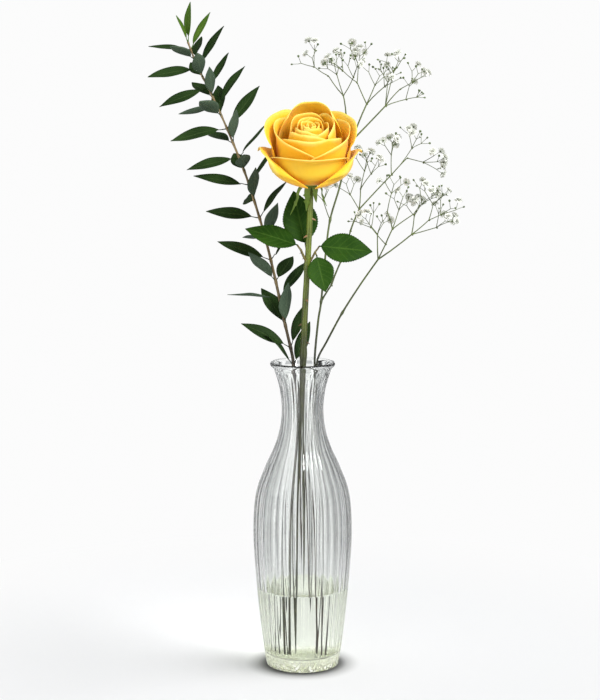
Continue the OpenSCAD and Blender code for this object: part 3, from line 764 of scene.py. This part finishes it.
# %% The sepals
# turn, droop in degrees, length, and whether it has side lobes
SEPALS = [(200, 66, 27, True), (250, 78, 20, True), (300, 76, 13, False), (350, 70, 20, True)]
SEPALS += [(100, 68, 21, False)]
SEPAL_STEPS, LOBE_ROWS = 16, (6, 10)
sepals = Mesher()
for turn, droop, length, lobed in SEPALS:
    a = math.radians(turn)
    out, up = Vector((math.cos(a), math.sin(a), 0)), Vector((0, 0, 1))
    side_way = up.cross(out)
    rows = []
    for i in range(SEPAL_STEPS + 1):
        v = i / SEPAL_STEPS
        bend = math.radians(droop) * min(1, 0.45 + v * 1.2)
        centre = out * (5.3 + length * v * math.cos(bend)) + up * (1.8 - length * v * math.sin(bend))
        wide = 3.1 * (1 - v) ** 0.8 * (0.75 + 0.5 * v) + 0.12
        if lobed and i in LOBE_ROWS:
            wide += 1.3
        face = out * math.sin(bend) + up * math.cos(bend)
        hollow = face * 0.55 * (1 - v)
        row = [centre + side_way * wide * s - hollow * (1 - s * s) for s in (-1, -0.5, 0, 0.5, 1)]
        rows.append([HEAD @ p for p in row])
    add_sheet(sepals, rows, 0.4, 0, 0)
sepals.piece("rose_sepals_green", "rose", ["rose_sepals"], [sepal_green], "sepal")
print("sepals:", len(SEPALS))

# %% [markdown]
# ### Prickles
# A rose's prickle is a hooked cone that sits on the bark, so it is a short tube that bends down and
# thins to a point. `at_height` finds the middle of the stem where one grows, and the prickle starts
# just inside the bark, a little less than the stem's radius away.


# %% The prickles
def at_height(line, z):
    """The point and the direction of a stem at a height."""
    i = max([0] + [k for k in range(len(line) - 1) if line[k].z <= z])
    a, b = line[i], line[i + 1]
    return a + (b - a) * (z - a.z) / (b.z - a.z), (b - a).normalized()


def level_way(degrees):
    a = math.radians(degrees)
    return Vector((math.cos(a), math.sin(a), 0))


def prickle(mesher, root, out, length=3.0, wide=1.05):
    tip = root + out * length + Vector((0, 0, -0.55 * length))
    line = []
    for t in (0, 0.25, 0.5, 0.75, 1):
        line.append(root.lerp(tip, t) + out * (0.25 * length * math.sin(t * math.pi)))
    add_tube(mesher, line, [wide, wide * 0.62, wide * 0.36, wide * 0.18, 0.05], 8)


PRICKLE_HEIGHTS = [256, 270, 289, 303, 338, 351]
prickles = Mesher()
for i, z in enumerate(PRICKLE_HEIGHTS):
    point, _ = at_height(STEM_LINES["rose"], z)
    out = level_way(20 + GOLDEN_TURN * i)
    prickle(prickles, point + out * 1.9, out)
prickles.piece("rose_prickles_brown", "rose", ["rose_prickles"], [prickle_brown], "prickle")
print("prickles:", len(PRICKLE_HEIGHTS))

# %% [markdown]
# ### Leaves
# One function makes every leaf: it takes a base, a direction and the way its upper face looks, and
# bends a flat outline. The blade folds a little along the midrib, droops towards the tip and
# waves slightly. A rose leaflet adds a toothed edge.


# %% The leaf maker
def add_leaf(mesher, base, along, face, length, width, stalk, seed, marks=(0, 1), belly=0.45, fold=0.18,
             droop=0.1, toothed=False, steps=18, across=8, stalk_r=0.42):
    """A stalk and a blade: the blade starts where the stalk ends and reaches the whole length."""
    x = along.normalized()
    z = (face - x * face.dot(x)).normalized()
    y = z.cross(x)
    bend = math.log(0.5) / math.log(belly)
    stalk_line = [base + x * (stalk * t) - z * (droop * stalk * t * (1 - t)) for t in (0, 0.35, 0.7, 1.08)]
    add_tube(mesher, stalk_line, [stalk_r * 1.2, stalk_r, stalk_r * 0.85, stalk_r * 0.7], 6, marks[0])
    rows = []
    for i in range(steps + 1):
        t = i / steps
        half = width / 2 * max(0.02, math.sin(math.pi * t**bend)) ** 0.9 if 0 < i < steps else 0.18
        if toothed and 0 < i < steps:
            half *= 1 + (0.035 if i % 2 else -0.015)
        lift = -droop * length * (t**1.6) + 0.03 * length * noise.noise(Vector((t * 1.7, seed * 3.3, 0.5)))
        row = []
        for k in range(across + 1):
            s = 1 - 2 * k / across
            wave = 0.05 * width * noise.noise(Vector((t * 3.0 + seed, s * 1.3, seed * 1.7)))
            point = base + x * (stalk + (length - stalk) * t * (1 - 0.06 * abs(droop) * t))
            point += y * (half * s) + z * (lift + fold * half * abs(s) ** 1.3 + wave * abs(s))
            row.append(point)
        rows.append(row)
    add_sheet(mesher, rows, 0.28, *marks)


# %% [markdown]
# ### The rose's compound leaf
# One rose leaf is several leaflets on a forked stalk. Each leaflet is placed by its own base and
# tip, and by the way its upper face looks, because that is what decides how much light it catches.
# Teeth along the edge come from making every second row of the sheet a little wider.

# %% Rose leaflets
# base, tip, the way the upper face looks, width, droop
LEAFLETS = [
    ((-4, -15.5, 331.5), (-42.5, -13, 346.5), (0.3, -0.7, 0.65), 21, 0.10),
    ((2.2, -5.4, 331), (-7, 0.5, 371), (0.25, -1, 0.1), 27, 0.02),
    ((12.6, -14.2, 330.5), (52.5, -19, 327.5), (0.05, -0.92, 0.4), 23, 0.06),
    ((10.6, -15, 323.5), (17.2, -26, 297.5), (0.15, -0.9, -0.3), 20, 0.04),
]
for i, (base, tip, face, width, droop) in enumerate(LEAFLETS):
    leaflet = Mesher()
    base, tip = Vector(base), Vector(tip)
    add_leaf(leaflet, base, tip - base, Vector(face), (tip - base).length, width, 1.4, 20 + i, belly=0.42,
             fold=0.10, droop=droop, toothed=True, steps=44, across=10, stalk_r=0.6)
    leaflet.piece(f"rose_leaflet_{i + 1}_toothed", "rose", [f"rose_leaflet_{i + 1}"],
                  [rose_leaf_top, rose_leaf_under], "rose_leaf")
print("leaflets:", len(LEAFLETS))

# %% [markdown]
# ### The leaf's stalk
# The stalk leaves the stem at one point and forks towards the leaflets. Every stretch is a tube
# that sags a little, and two small prickles sit on it, as they do on a real rose.

# %% Rose leaf stalk
stalk = Mesher()
root = Vector((4.1, -10.6, 316))
left_fork, right_fork = Vector((-1.5, -14.5, 328)), Vector((9.4, -12.8, 326))
middle = root + Vector((0.4, 2, 3))
leaflet_bases = [Vector(leaflet[0]) for leaflet in LEAFLETS]
branches = [(root, left_fork, 1.1), (left_fork, leaflet_bases[0], 0.85), (root, right_fork, 0.95)]
branches += [(right_fork, leaflet_bases[2], 0.75), (right_fork, leaflet_bases[3], 0.7)]
branches += [(root, middle, 0.9), (middle, leaflet_bases[1], 0.8)]
for a, b, r in branches:
    sag = Vector((0, 0, -0.04 * (b - a).length))
    add_tube(stalk, [a, a.lerp(b, 0.35) + sag, a.lerp(b, 0.7) + sag, b], [r, r * 0.9, r * 0.85, r * 0.8], 8)
for t, turn in ((0.45, 200), (0.8, 150)):
    prickle(stalk, root.lerp(left_fork, t), level_way(turn), 2.2, 0.6)
stalk.piece("rose_leaf_stalk_red", "rose", ["rose_leaf_stalk"], [stalk_red], "leaf_stalk")
print("stretches of stalk:", len(branches))

# %% [markdown]
# ## The leafy branch
# Leaves sit in opposite pairs, each pair about a quarter turn from the last, so seen from the front
# some show their face and others only their edge. An array modifier would make them all alike. The
# table keeps them different: the height, the turn round the stem, and for both leaves of the pair
# the length, the angle from the stem and the roll.

# %% Leaf pairs
LEAF_PAIRS = [
    (236, 196, (34, 31, -25), (36, 26, 55)),
    (250, 188, (42, 48, -60), (37, 30, 50)),
    (267, 125, (38, 27, 0), (35, 24, 10)),
    (288, 190, (40, 74, 5), (36, 47, 45)),
    (301, 228, (34, 40, 0), (30, 58, 30)),
    (317, 187, (43, 57, -55), (35, 48, 10)),
    (333, 142, (22, 72, 30), (31, 40, -20)),
    (349, 190, (41, 64, -60), (36, 48, 25)),
    (362, 112, (24, 74, -40), (30, 38, 20)),
    (374, 185, (43, 60, -50), (38, 52, 20)),
    (385, 98, (26, 48, 0), (28, 68, 0)),
    (395, 188, (41, 80, -50), (34, 60, 15)),
    (406, 132, (31, 52, 0), (28, 38, 0)),
    (417, 190, (44, 76, -50), (42, 58, 50)),
    (427, 248, (31, 58, 0), (30, 38, 0)),
    (434, 188, (30, 76, 30), (38, 56, 35)),
    (441, 122, (26, 42, 0), (25, 34, 0)),
    (448, 186, (40, 84, -50), (31, 56, 40)),
    (456, 104, (22, 42, 0), (26, 46, 0)),
    (463, 190, (39, 72, -50), (38, 54, 30)),
    (470, 236, (27, 52, 0), (24, 50, 0)),
    (477, 184, (32, 62, -30), (32, 44, 40)),
    (482.4, 200, (22, 2, -40), (31, 24, 20)),
]
SLIMNESS, STALK_SHARE = 0.235, 0.14


def jitter(seed, low=-1.0, high=1.0):
    """A steady pseudo-random number for a seed."""
    x = math.sin(seed * 12.9898 + 4.1414) * 43758.5453
    return low + (x - math.floor(x)) * (high - low)


def branch_leaf(mesher, z, turn, length, lean, roll, seed, young):
    point, stem_way = at_height(STEM_LINES["branch"], z)
    right = Vector((1, 0, 0)) - stem_way * stem_way.x
    right.normalize()
    back = stem_way.cross(right)
    a, b, c = (math.radians(x) for x in (turn, lean, roll))
    out = math.cos(a) * right + math.sin(a) * back
    along = math.cos(b) * stem_way + math.sin(b) * out
    face = (stem_way - along * stem_way.dot(along)).normalized()
    face = math.cos(c) * face + math.sin(c) * along.cross(face)
    width = length * SLIMNESS * (1 + 0.9 * abs(math.sin(a)))
    add_leaf(mesher, point + along * 0.5, along, face, length, width, length * STALK_SHARE, seed,
             (2, 1) if young else (0, 1), fold=0.22, droop=0.05 + 0.05 * jitter(seed), steps=16, across=8)


leaf_finishes = [branch_top, branch_under, young_top]
for i, (z, turn, first, second) in enumerate(LEAF_PAIRS):
    pair = Mesher()
    branch_leaf(pair, z, turn, *first, i * 2 + 1, i >= 22)
    branch_leaf(pair, z, turn + 180, *second, i * 2 + 2, i >= 21)
    nodes = [f"branch_leaf_pair_{i + 1}"]
    pair.piece(f"leaf_pair_{i + 1:02d}", "leafy_branch", nodes, leaf_finishes, "branch_leaf")
print("leaf pairs:", len(LEAF_PAIRS))

# %% [markdown]
# ### The woody stem
# The branch is a long tube that thins from 3 mm to little more than 1 mm across, with a small joint
# swelling under each pair of leaves. Those heights are read from the table above, so the bark
# always follows the leaves.

# %% Bark
branch_line = finer(STEM_LINES["branch"])
joint_heights = [z for z, *_ in LEAF_PAIRS]
woody = Mesher()
add_tube(woody, branch_line, stem_radii(branch_line, 1.5, 0.6, joint_heights, 0.35, 1.8), 12, 0, 1)
woody.piece("branch_bark", "leafy_branch", ["branch_stem"], [bark, cut_pith], "bark")
print("bark points:", len(branch_line))

# %% [markdown]
# ## Baby's breath
# A spray forks again and again until its twigs are thin as hair. The main limbs are given point by
# point, each with its start, its end and its radius, because their forks are what the eye knows.

# %% Limbs of the two sprays
LOW, MID, HIGH = (14.3, 12, 285), (21.2, 23, 347), (38.7, 34, 408)
ARM, ARM_END = (43.8, 31, 354.6), (69, 37, 381)
LEFT, CENTRE, RIGHT = (31.5, 37, 442), (49.5, 37, 435.5), (64, 38, 434)
TALL_LIMBS = [
    (HIGH, (33.5, 36, 428), 0.55), ((33.5, 36, 428), LEFT, 0.5),
    (LEFT, (20, 38, 457), 0.4), ((20, 38, 457), (9, 36, 464), 0.32),
    (LEFT, (26.5, 42, 458), 0.35), (LEFT, (39, 33, 456), 0.35),
    (HIGH, CENTRE, 0.6), (CENTRE, (42, 34, 452), 0.4), ((42, 34, 452), (31, 30, 461), 0.32),
    ((42, 34, 452), (43, 40, 466), 0.32), (CENTRE, (56, 42, 450), 0.4), (CENTRE, (63, 32, 449), 0.4),
    (HIGH, RIGHT, 0.6), (RIGHT, (75, 34, 447), 0.4), ((75, 34, 447), (84, 33, 452), 0.32),
    (RIGHT, (80, 42, 439), 0.35), (RIGHT, (66, 45, 452), 0.35), (RIGHT, (70, 36, 460), 0.32),
    (LOW, (22, 16, 297), 0.7), ((22, 16, 297), (30, 21, 316), 0.7), ((30, 21, 316), (37, 27, 338), 0.65),
    ((37, 27, 338), ARM, 0.6), (ARM, (45, 35, 370), 0.45), ((45, 35, 370), (48, 36, 384), 0.35),
    ((45, 35, 370), (53, 32, 382), 0.35), (ARM, (37, 32, 366), 0.35), (ARM, ARM_END, 0.5),
    (ARM_END, (69, 42, 396), 0.35), (ARM_END, (81, 36, 394), 0.38), ((81, 36, 394), (93, 34, 391), 0.32),
    (ARM_END, (85, 44, 401), 0.32), (MID, (16, 22, 362), 0.35),
]
FORK, NEAR, FAR = (57.5, -1, 319), (68, -6, 342.6), (83, 0, 338)
SIDE_LIMBS = [
    (FORK, (57, 1, 338), 0.45), (FORK, (63, -5, 331), 0.5), ((63, -5, 331), NEAR, 0.5),
    (NEAR, (64, -9, 356), 0.4), ((64, -9, 356), (67, -9, 370), 0.32), (NEAR, (73, -2, 357), 0.35),
    (NEAR, (84, -6, 354), 0.4), ((84, -6, 354), (90, -8, 362), 0.32), ((63, -5, 331), (52, -8, 344), 0.35),
    (FORK, FAR, 0.55), (FAR, (85, 2, 352), 0.4), (FAR, (96, 0, 349), 0.4),
    ((96, 0, 349), (99, -2, 361), 0.32), ((96, 0, 349), (105, 1, 353), 0.32), (FAR, (102, 4, 343), 0.38),
]
print("limbs:", len(TALL_LIMBS), "tall,", len(SIDE_LIMBS), "side")

# %% [markdown]
# ### Growing shoots and stalks
# Drawing every hair-thin stalk would take hundreds of points. Instead each limb's end grows three
# shoots, and each shoot two or three stalks. The numbers come from `chance`, a steady rule that the
# CAD model uses as well, so the flowers land where the CAD's balls are.


# %% Growing shoots and stalks
def chance(n):
    s = math.sin(math.radians(n * 151.7 + 33.3)) * 4375.85
    return s - math.floor(s)


def shoot(start, way, length, spread, turn):
    e = (Vector((1, 0.3, 0)) - way * way.dot(Vector((1, 0.3, 0)))).normalized()
    f = way.cross(e)
    s, t = math.radians(spread), math.radians(turn)
    return start + length * (math.cos(s) * way + math.sin(s) * (math.cos(t) * e + math.sin(t) * f))


def grow(limbs, seed):
    starts = {limb[0] for limb in limbs}
    ends = [limb for limb in limbs if limb[1] not in starts]
    shoots, stalks = [], []
    for k, (a, b, _) in enumerate(ends):
        a, b = Vector(a), Vector(b)
        way = ((b - a).normalized() + Vector((0, 0, 0.5))).normalized()
        for j in range(3):
            n = seed + 10 * k + j
            tip = shoot(b, way, 8 + 5 * chance(n), 30 + 16 * chance(n + 0.3), 120 * j + 70 * chance(n + 0.6))
            shoots.append((b, tip, n))
    for b, tip, n0 in shoots:
        way = ((tip - b).normalized() + Vector((0, 0, 0.35))).normalized()
        for j in range(2 if chance(n0 + 4) < 0.5 else 3):
            n = n0 + 0.1 * j
            lean, turn = 28 + 22 * chance(n + 7), 120 * j + 60 * chance(n + 9)
            stalks.append((tip, shoot(tip, way, 5 + 3.5 * chance(n + 5), lean, turn), n))
    return shoots, stalks


# %% [markdown]
# ### Bud and cup
# A bud is a green egg whose white petals just show at the tip, and an open floret sits in a green
# cup of the same form. One turned shape with seven sides serves for both, and for the small knots
# where twigs fork. Buds are so small that more sides would not be seen.

# %% Buds and cups
CUP_SIDES = 7


def add_cup(mesher, base, way, wide, tall, mark, white_tip=None):
    way = way.normalized()
    e = way.orthogonal().normalized()
    f = way.cross(e)
    sections = [(0, 0.25), (0.25, 0.8), (0.55, 1.0), (0.8, 0.78), (1.0, 0.3)]
    turns = [math.tau * k / CUP_SIDES for k in range(CUP_SIDES)]
    rings = [[circle_point(base + way * tall * t, wide * s, a, e, f) for a in turns] for t, s in sections]
    split = 3 if white_tip is not None else 4
    mesher.skin(rings[: split + 1], mark, closed=True)
    if white_tip is not None:
        mesher.skin(rings[split:], white_tip, closed=True)
    top_mark = mark if white_tip is None else white_tip
    mesher.add(rings[-1], [list(range(CUP_SIDES))], top_mark, [(0, 1)] * CUP_SIDES)
    mesher.add(rings[0], [list(range(CUP_SIDES))[::-1]], mark, [(0, 0)] * CUP_SIDES)


# %% [markdown]
# ### Floret
# A double floret is a ruffled ball: four rings of small cupped petals, from wide open to upright.
# A sphere with a bump would stay round at its edge, so every petal is a small strip of its own,
# turned and stretched a bit by `jitter`, which gives the ragged outline.

# %% Florets
# petals in the ring, how far they open in degrees, their share of the floret's size
FLORET_RINGS = [(8, 86, 1.0), (7, 58, 0.95), (6, 30, 0.85), (3, 8, 0.7)]


def add_floret(mesher, centre, way, size, seed):
    way = way.normalized()
    e = way.orthogonal().normalized()
    f = way.cross(e)
    for ring, (count, open_way, long) in enumerate(FLORET_RINGS):
        for j in range(count):
            a = math.tau * (j + 0.37 * ring) / count + jitter(seed + ring * 9 + j, -0.25, 0.25)
            out = math.cos(a) * e + math.sin(a) * f
            side_way = way.cross(out)
            lean = math.radians(open_way + jitter(seed * 3 + j + ring, -12, 12))
            reach = size * long * (1 + jitter(seed * 7 + j, -0.12, 0.12))
            rows = []
            for i in range(4):
                v = i / 3
                bend = lean * (0.5 + 0.6 * v)
                climb = reach * v * (math.sin(bend) * out + math.cos(bend) * way)
                middle = centre - way * size * 0.45 + climb
                wide = reach * (0.16, 0.40, 0.52, 0.30)[i]
                cup = way * 0.25 * wide
                left, right = middle - side_way * wide + cup, middle + side_way * wide + cup
                rows.append([left, middle - cup * 0.5, right])
            uvs = [(k / 2, i / 3) for i in range(4) for k in range(3)]
            mesher.skin(rows, 0, uvs=uvs)
    add_cup(mesher, centre - way * size * 0.75, way, size * 0.26, size * 0.4, 1)


# %% [markdown]
# ### Putting the sprays together
# Both sprays are made by the same loop. It draws the limbs, shoots and stalks as tubes, sets an
# open floret or a bud on each stalk, and makes four pieces for each spray. Florets and buds are
# joined by kind, because nobody takes a single one off.


# %% The two sprays
def add_twig(mesher, a, b, r, sides=6, sway=0.04):
    a, b = Vector(a), Vector(b)
    way = b - a
    swing = way.orthogonal().normalized() * way.length * sway * jitter(a.x + b.z)
    line = [a, a.lerp(b, 0.35) + swing, a.lerp(b, 0.7) + swing * 0.8, b]
    add_tube(mesher, line, [r * 1.15, r, r * 0.92, r * 0.95], sides)


FLORET_R, BUD_R, FLORET_SHARE = 2.1, 0.9, 0.42
for label, limbs, seed, joints in (
    ("tall_spray", TALL_LIMBS, 100, (285, 347)),
    ("side_spray", SIDE_LIMBS, 700, (277,)),
):
    shoots, stalks = grow(limbs, seed)
    twigs, florets, buds, main = Mesher(), Mesher(), Mesher(), Mesher()
    for a, b, r in limbs:
        add_twig(twigs, a, b, r, 8)
        add_cup(twigs, Vector(b) - Vector((0, 0, 0.6)), Vector(b) - Vector(a), r * 1.7, 1.4, 0)
    for a, b, _ in shoots:
        add_twig(twigs, a, b, 0.28)
    for a, b, n in stalks:
        add_twig(twigs, a, b, 0.2, 5)
        way = (b - a).normalized()
        if chance(n * 3 + 1) < FLORET_SHARE:
            add_floret(florets, b + way * FLORET_R * 0.7, way, FLORET_R * (1.55 + 0.3 * jitter(n)), n)
        else:
            add_cup(buds, b - way * 0.3, way, BUD_R * (0.95 + 0.2 * jitter(n)), BUD_R * 2.5, 0, 1)
    fine_line = finer(STEM_LINES[label])
    add_tube(main, fine_line, stem_radii(fine_line, 0.95, 0.65, joints, 0.45, 1.6), 10, 0, 1)
    main.piece(f"{label}_main_stem", label, [f"{label}_stem"], [spray_green, cut_pith], "spray_stem")
    twigs.piece(f"{label}_fine_twigs", label, [f"{label}_twigs"], [spray_green], "spray_stem")
    florets.piece(f"{label}_open_florets", label, [f"{label}_florets"], [floret_white, calyx_green], "floret")
    buds.piece(f"{label}_closed_buds", label, [f"{label}_buds"], [calyx_green, floret_white], "bud")
    print(label, "shoots", len(shoots), "stalks", len(stalks))

# %% [markdown]
# ## Studio floor
# Clear glass shows only what is around it, so the room matters as much as the vase. The floor is a
# sheet of pale paper. Near the vase it takes real light and shadow, and a painted shadow in a ring
# round the foot makes it darkest where the foot touches it. Further away it turns into an even glow,
# so it ends in plain white with no horizon.

# %% The paper floor
WHITE, PAPER_TONE = 0.972, 0.815
FLOOR_SIDES, FLOOR_RADIUS, JUST_BELOW = 64, 6, -0.00005
floor_mesh = bpy.data.meshes.new("paper_floor")
turns = [math.tau * k / FLOOR_SIDES for k in range(FLOOR_SIDES)]
rim = [(FLOOR_RADIUS * math.cos(a), FLOOR_RADIUS * math.sin(a), JUST_BELOW) for a in turns]
floor_mesh.from_pydata(rim, [], [list(range(FLOOR_SIDES))])
floor = bpy.data.objects.new("paper_floor", floor_mesh)
bpy.context.scene.collection.objects.link(floor)
floor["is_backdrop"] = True


def soft_step(f, value, low, high):
    made = f.node("MapRange", {0: value, 1: low, 2: high}, interpolation_type="SMOOTHSTEP")
    return made.outputs[0]


def distance_from_origin(f):
    place = f.node("TexCoord").outputs["Object"]
    return f.node("VectorMath", {0: place}, operation="LENGTH").outputs["Value"]


f = Finish("paper_floor")
far = distance_from_origin(f)
away = soft_step(f, far, 0.16, 0.42)
grain = f.ramp(f.noise(900.0, 2.0), (0.0, grey(PAPER_TONE - 0.01)), (1.0, grey(PAPER_TONE + 0.01)))
# Painted contact shadow: the paper is darkened in a ring round the foot, darkest under its edge.
painted_contact_mask = soft_step(f, far, 0.026, 0.047)
painted_contact_shadow = f.ramp(painted_contact_mask, (0.0, grey(0.12)), (0.4, grey(0.62)), (1.0, grey(1.0)))
paper = f.node("BsdfDiffuse", {"Color": f.mix(1.0, grain, painted_contact_shadow, "MULTIPLY")})
even = f.node("Emission", {"Color": (1, 1, 1, 1), "Strength": WHITE})
paper_finish = f.surface(f.node("MixShader", {0: away, 1: paper.outputs[0], 2: even.outputs[0]}))
floor_mesh.materials.append(paper_finish)
print("floor radius in metres:", FLOOR_RADIUS)

# %% [markdown]
# ### The world
# The camera should see plain white behind the flowers, while the plants need a softer, slightly
# cool light. A Light Path node picks between the two: one background for camera rays, one for all
# the others.

# %% The world
world = bpy.data.worlds.new("studio")
bpy.context.scene.world = world
world.use_nodes = True
tree = world.node_tree
tree.nodes.clear()
backgrounds = []
for colour, strength in (((0.97, 0.985, 1, 1), 0.62), ((1, 1, 1, 1), WHITE)):
    background = tree.nodes.new("ShaderNodeBackground")
    background.inputs["Color"].default_value = colour
    background.inputs["Strength"].default_value = strength
    backgrounds.append(background)
path = tree.nodes.new("ShaderNodeLightPath")
either = tree.nodes.new("ShaderNodeMixShader")
end = tree.nodes.new("ShaderNodeOutputWorld")
tree.links.new(path.outputs["Is Camera Ray"], either.inputs[0])
tree.links.new(backgrounds[0].outputs[0], either.inputs[1])
tree.links.new(backgrounds[1].outputs[0], either.inputs[2])
tree.links.new(either.outputs[0], end.inputs["Surface"])
print("world nodes:", len(tree.nodes))

# %% [markdown]
# ### Cards that only the glass sees
# In a glass studio, black and white cards stand round a vase, and their reflections draw its edges
# and flutes as fine lines. Painting such lines on the glass would look wrong from any other side,
# so real cards are made here too. They are hidden from the camera and cast no shadow: only
# reflections and refractions find them. Each stands half a metre away, runs in along the floor,
# and fades out before it reaches the vase.

# %% The cards
# From straight behind the vase, clockwise seen from above: start, end, brightness, cool tint or not.
CARDS = [
    (2.5, 4, 1.1, 0), (4.5, 6.5, 0.02, 0), (7, 8.5, 1.0, 0), (8.5, 10, 0.25, 1), (11.5, 14, 0.01, 0),
    (15, 17, 1.1, 0), (18.5, 27, 0.01, 0), (27.5, 29.5, 1.1, 0), (30, 34, 0.4, 1),
    (38, 50, 0.01, 0), (52, 58, 1.3, 0), (60, 78, 0.3, 1), (84, 104, 0.01, 0), (128, 140, 5.0, 0),
    (150, 172, 0.2, 0), (190, 205, 0.2, 0), (222, 236, 4.0, 0), (256, 274, 0.01, 0), (285, 300, 0.2, 1),
    (303, 309, 1.3, 0), (312, 320, 0.02, 0), (322, 327, 1.2, 0), (328, 332, 0.4, 1), (333, 341, 0.01, 0),
    (341, 343.5, 1.1, 0), (344, 346, 0.45, 1), (349.5, 351.5, 0.03, 0), (353, 355, 1.1, 0),
]
CARD_OUTLINE = ((60, 0.5), (500, 0.5), (500, 700))
for i, (start, stop, level, cool) in enumerate(CARDS):
    steps = max(2, round((stop - start) / 2))
    angles = [math.radians(start + (stop - start) * k / steps) for k in range(steps + 1)]
    surface = Mesher()
    surface.skin([[(r * math.sin(a), r * math.cos(a), z) for a in angles] for r, z in CARD_OUTLINE])
    card_mesh = bpy.data.meshes.new(f"glass_card_{i + 1}")
    card_mesh.from_pydata([p * MM for p in surface.points], [], surface.faces)
    f = Finish(f"glass_card_{i + 1}")
    tint = (0.86, 0.92, 1.0, 1) if cool else (1, 1, 1, 1)
    shine = f.node("Emission", {"Color": tint, "Strength": level})
    solid = soft_step(f, distance_from_origin(f), 0.10, 0.42)
    gone = f.node("BsdfTransparent")
    card_finish = f.surface(f.node("MixShader", {0: solid, 1: gone.outputs[0], 2: shine.outputs[0]}))
    card_mesh.materials.append(card_finish)
    card = bpy.data.objects.new(f"glass_card_{i + 1}", card_mesh)
    card.visible_camera = card.visible_diffuse = card.visible_shadow = False
    bpy.context.scene.collection.objects.link(card)
    card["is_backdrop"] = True
print("cards:", len(CARDS))

# %% [markdown]
# ### Lights
# Two soft lamps light only the plants and the vase, and a low sun lights only the floor, so that the
# vase throws one short soft shadow. Light linking does this: each lamp is given the collection of
# objects that it may light. A single lamp for everything would burn out the white paper.

# %% The lights
lit_pieces = bpy.data.collections.new("plants_and_vase")
for obj in bpy.context.scene.objects:
    if obj.type == "MESH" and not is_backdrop(obj) and obj.visible_get():
        lit_pieces.objects.link(obj)


def soft_light(name, place, target, size, watts):
    data = bpy.data.lights.new(name, "AREA")
    data.size, data.energy = size, watts
    lamp = bpy.data.objects.new(name, data)
    lamp.location = place
    lamp.rotation_euler = (Vector(target) - Vector(place)).to_track_quat("-Z", "Y").to_euler()
    bpy.context.scene.collection.objects.link(lamp)
    lamp.light_linking.receiver_collection = lit_pieces


soft_light("key", (0.7, -1.05, 1.25), (0, 0, 0.35), 0.6, 30)
soft_light("left_fill", (-1.2, -0.8, 0.8), (0, 0, 0.3), 0.8, 6)
only_floor = bpy.data.collections.new("only_floor")
only_floor.objects.link(floor)
sun_data = bpy.data.lights.new("side_sun", "SUN")
sun_data.angle, sun_data.energy = 0.9, 2.45
side_sun = bpy.data.objects.new("side_sun", sun_data)
side_sun.light_linking.receiver_collection = only_floor
side_sun.rotation_euler = Vector((-1, 0.12, -1.0)).to_track_quat("-Z", "Y").to_euler()
bpy.context.scene.collection.objects.link(side_sun)

# %% [markdown]
# ## Camera
# The camera stands 1.5 m in front and looks down a little, as a person at a table would. A long
# lens keeps the vase's sides nearly parallel. Glass needs many bounces, since one ray crosses the
# wall, the water and the wall again.

# %% Camera and image
SENSOR, LENS = 36, 101.571
eye, aim = Vector((-0.002, -1.5, 0.480)), Vector((-0.002, 0, 0.249))
camera_data = bpy.data.cameras.new("camera")
camera_data.sensor_fit = "VERTICAL"
camera_data.sensor_height = SENSOR
camera_data.lens = LENS
camera = bpy.data.objects.new("camera", camera_data)
camera.location = eye
camera.rotation_euler = (aim - eye).to_track_quat("-Z", "Y").to_euler()
bpy.context.scene.collection.objects.link(camera)
scene = bpy.context.scene
scene.camera = camera
scene.view_settings.view_transform = "Standard"
scene.cycles.max_bounces = 24
scene.cycles.transmission_bounces = 24
scene.cycles.glossy_bounces = 6
scene.cycles.transparent_max_bounces = 32
scene.cycles.use_denoising = True
print("camera distance in metres:", round((aim - eye).length, 3))
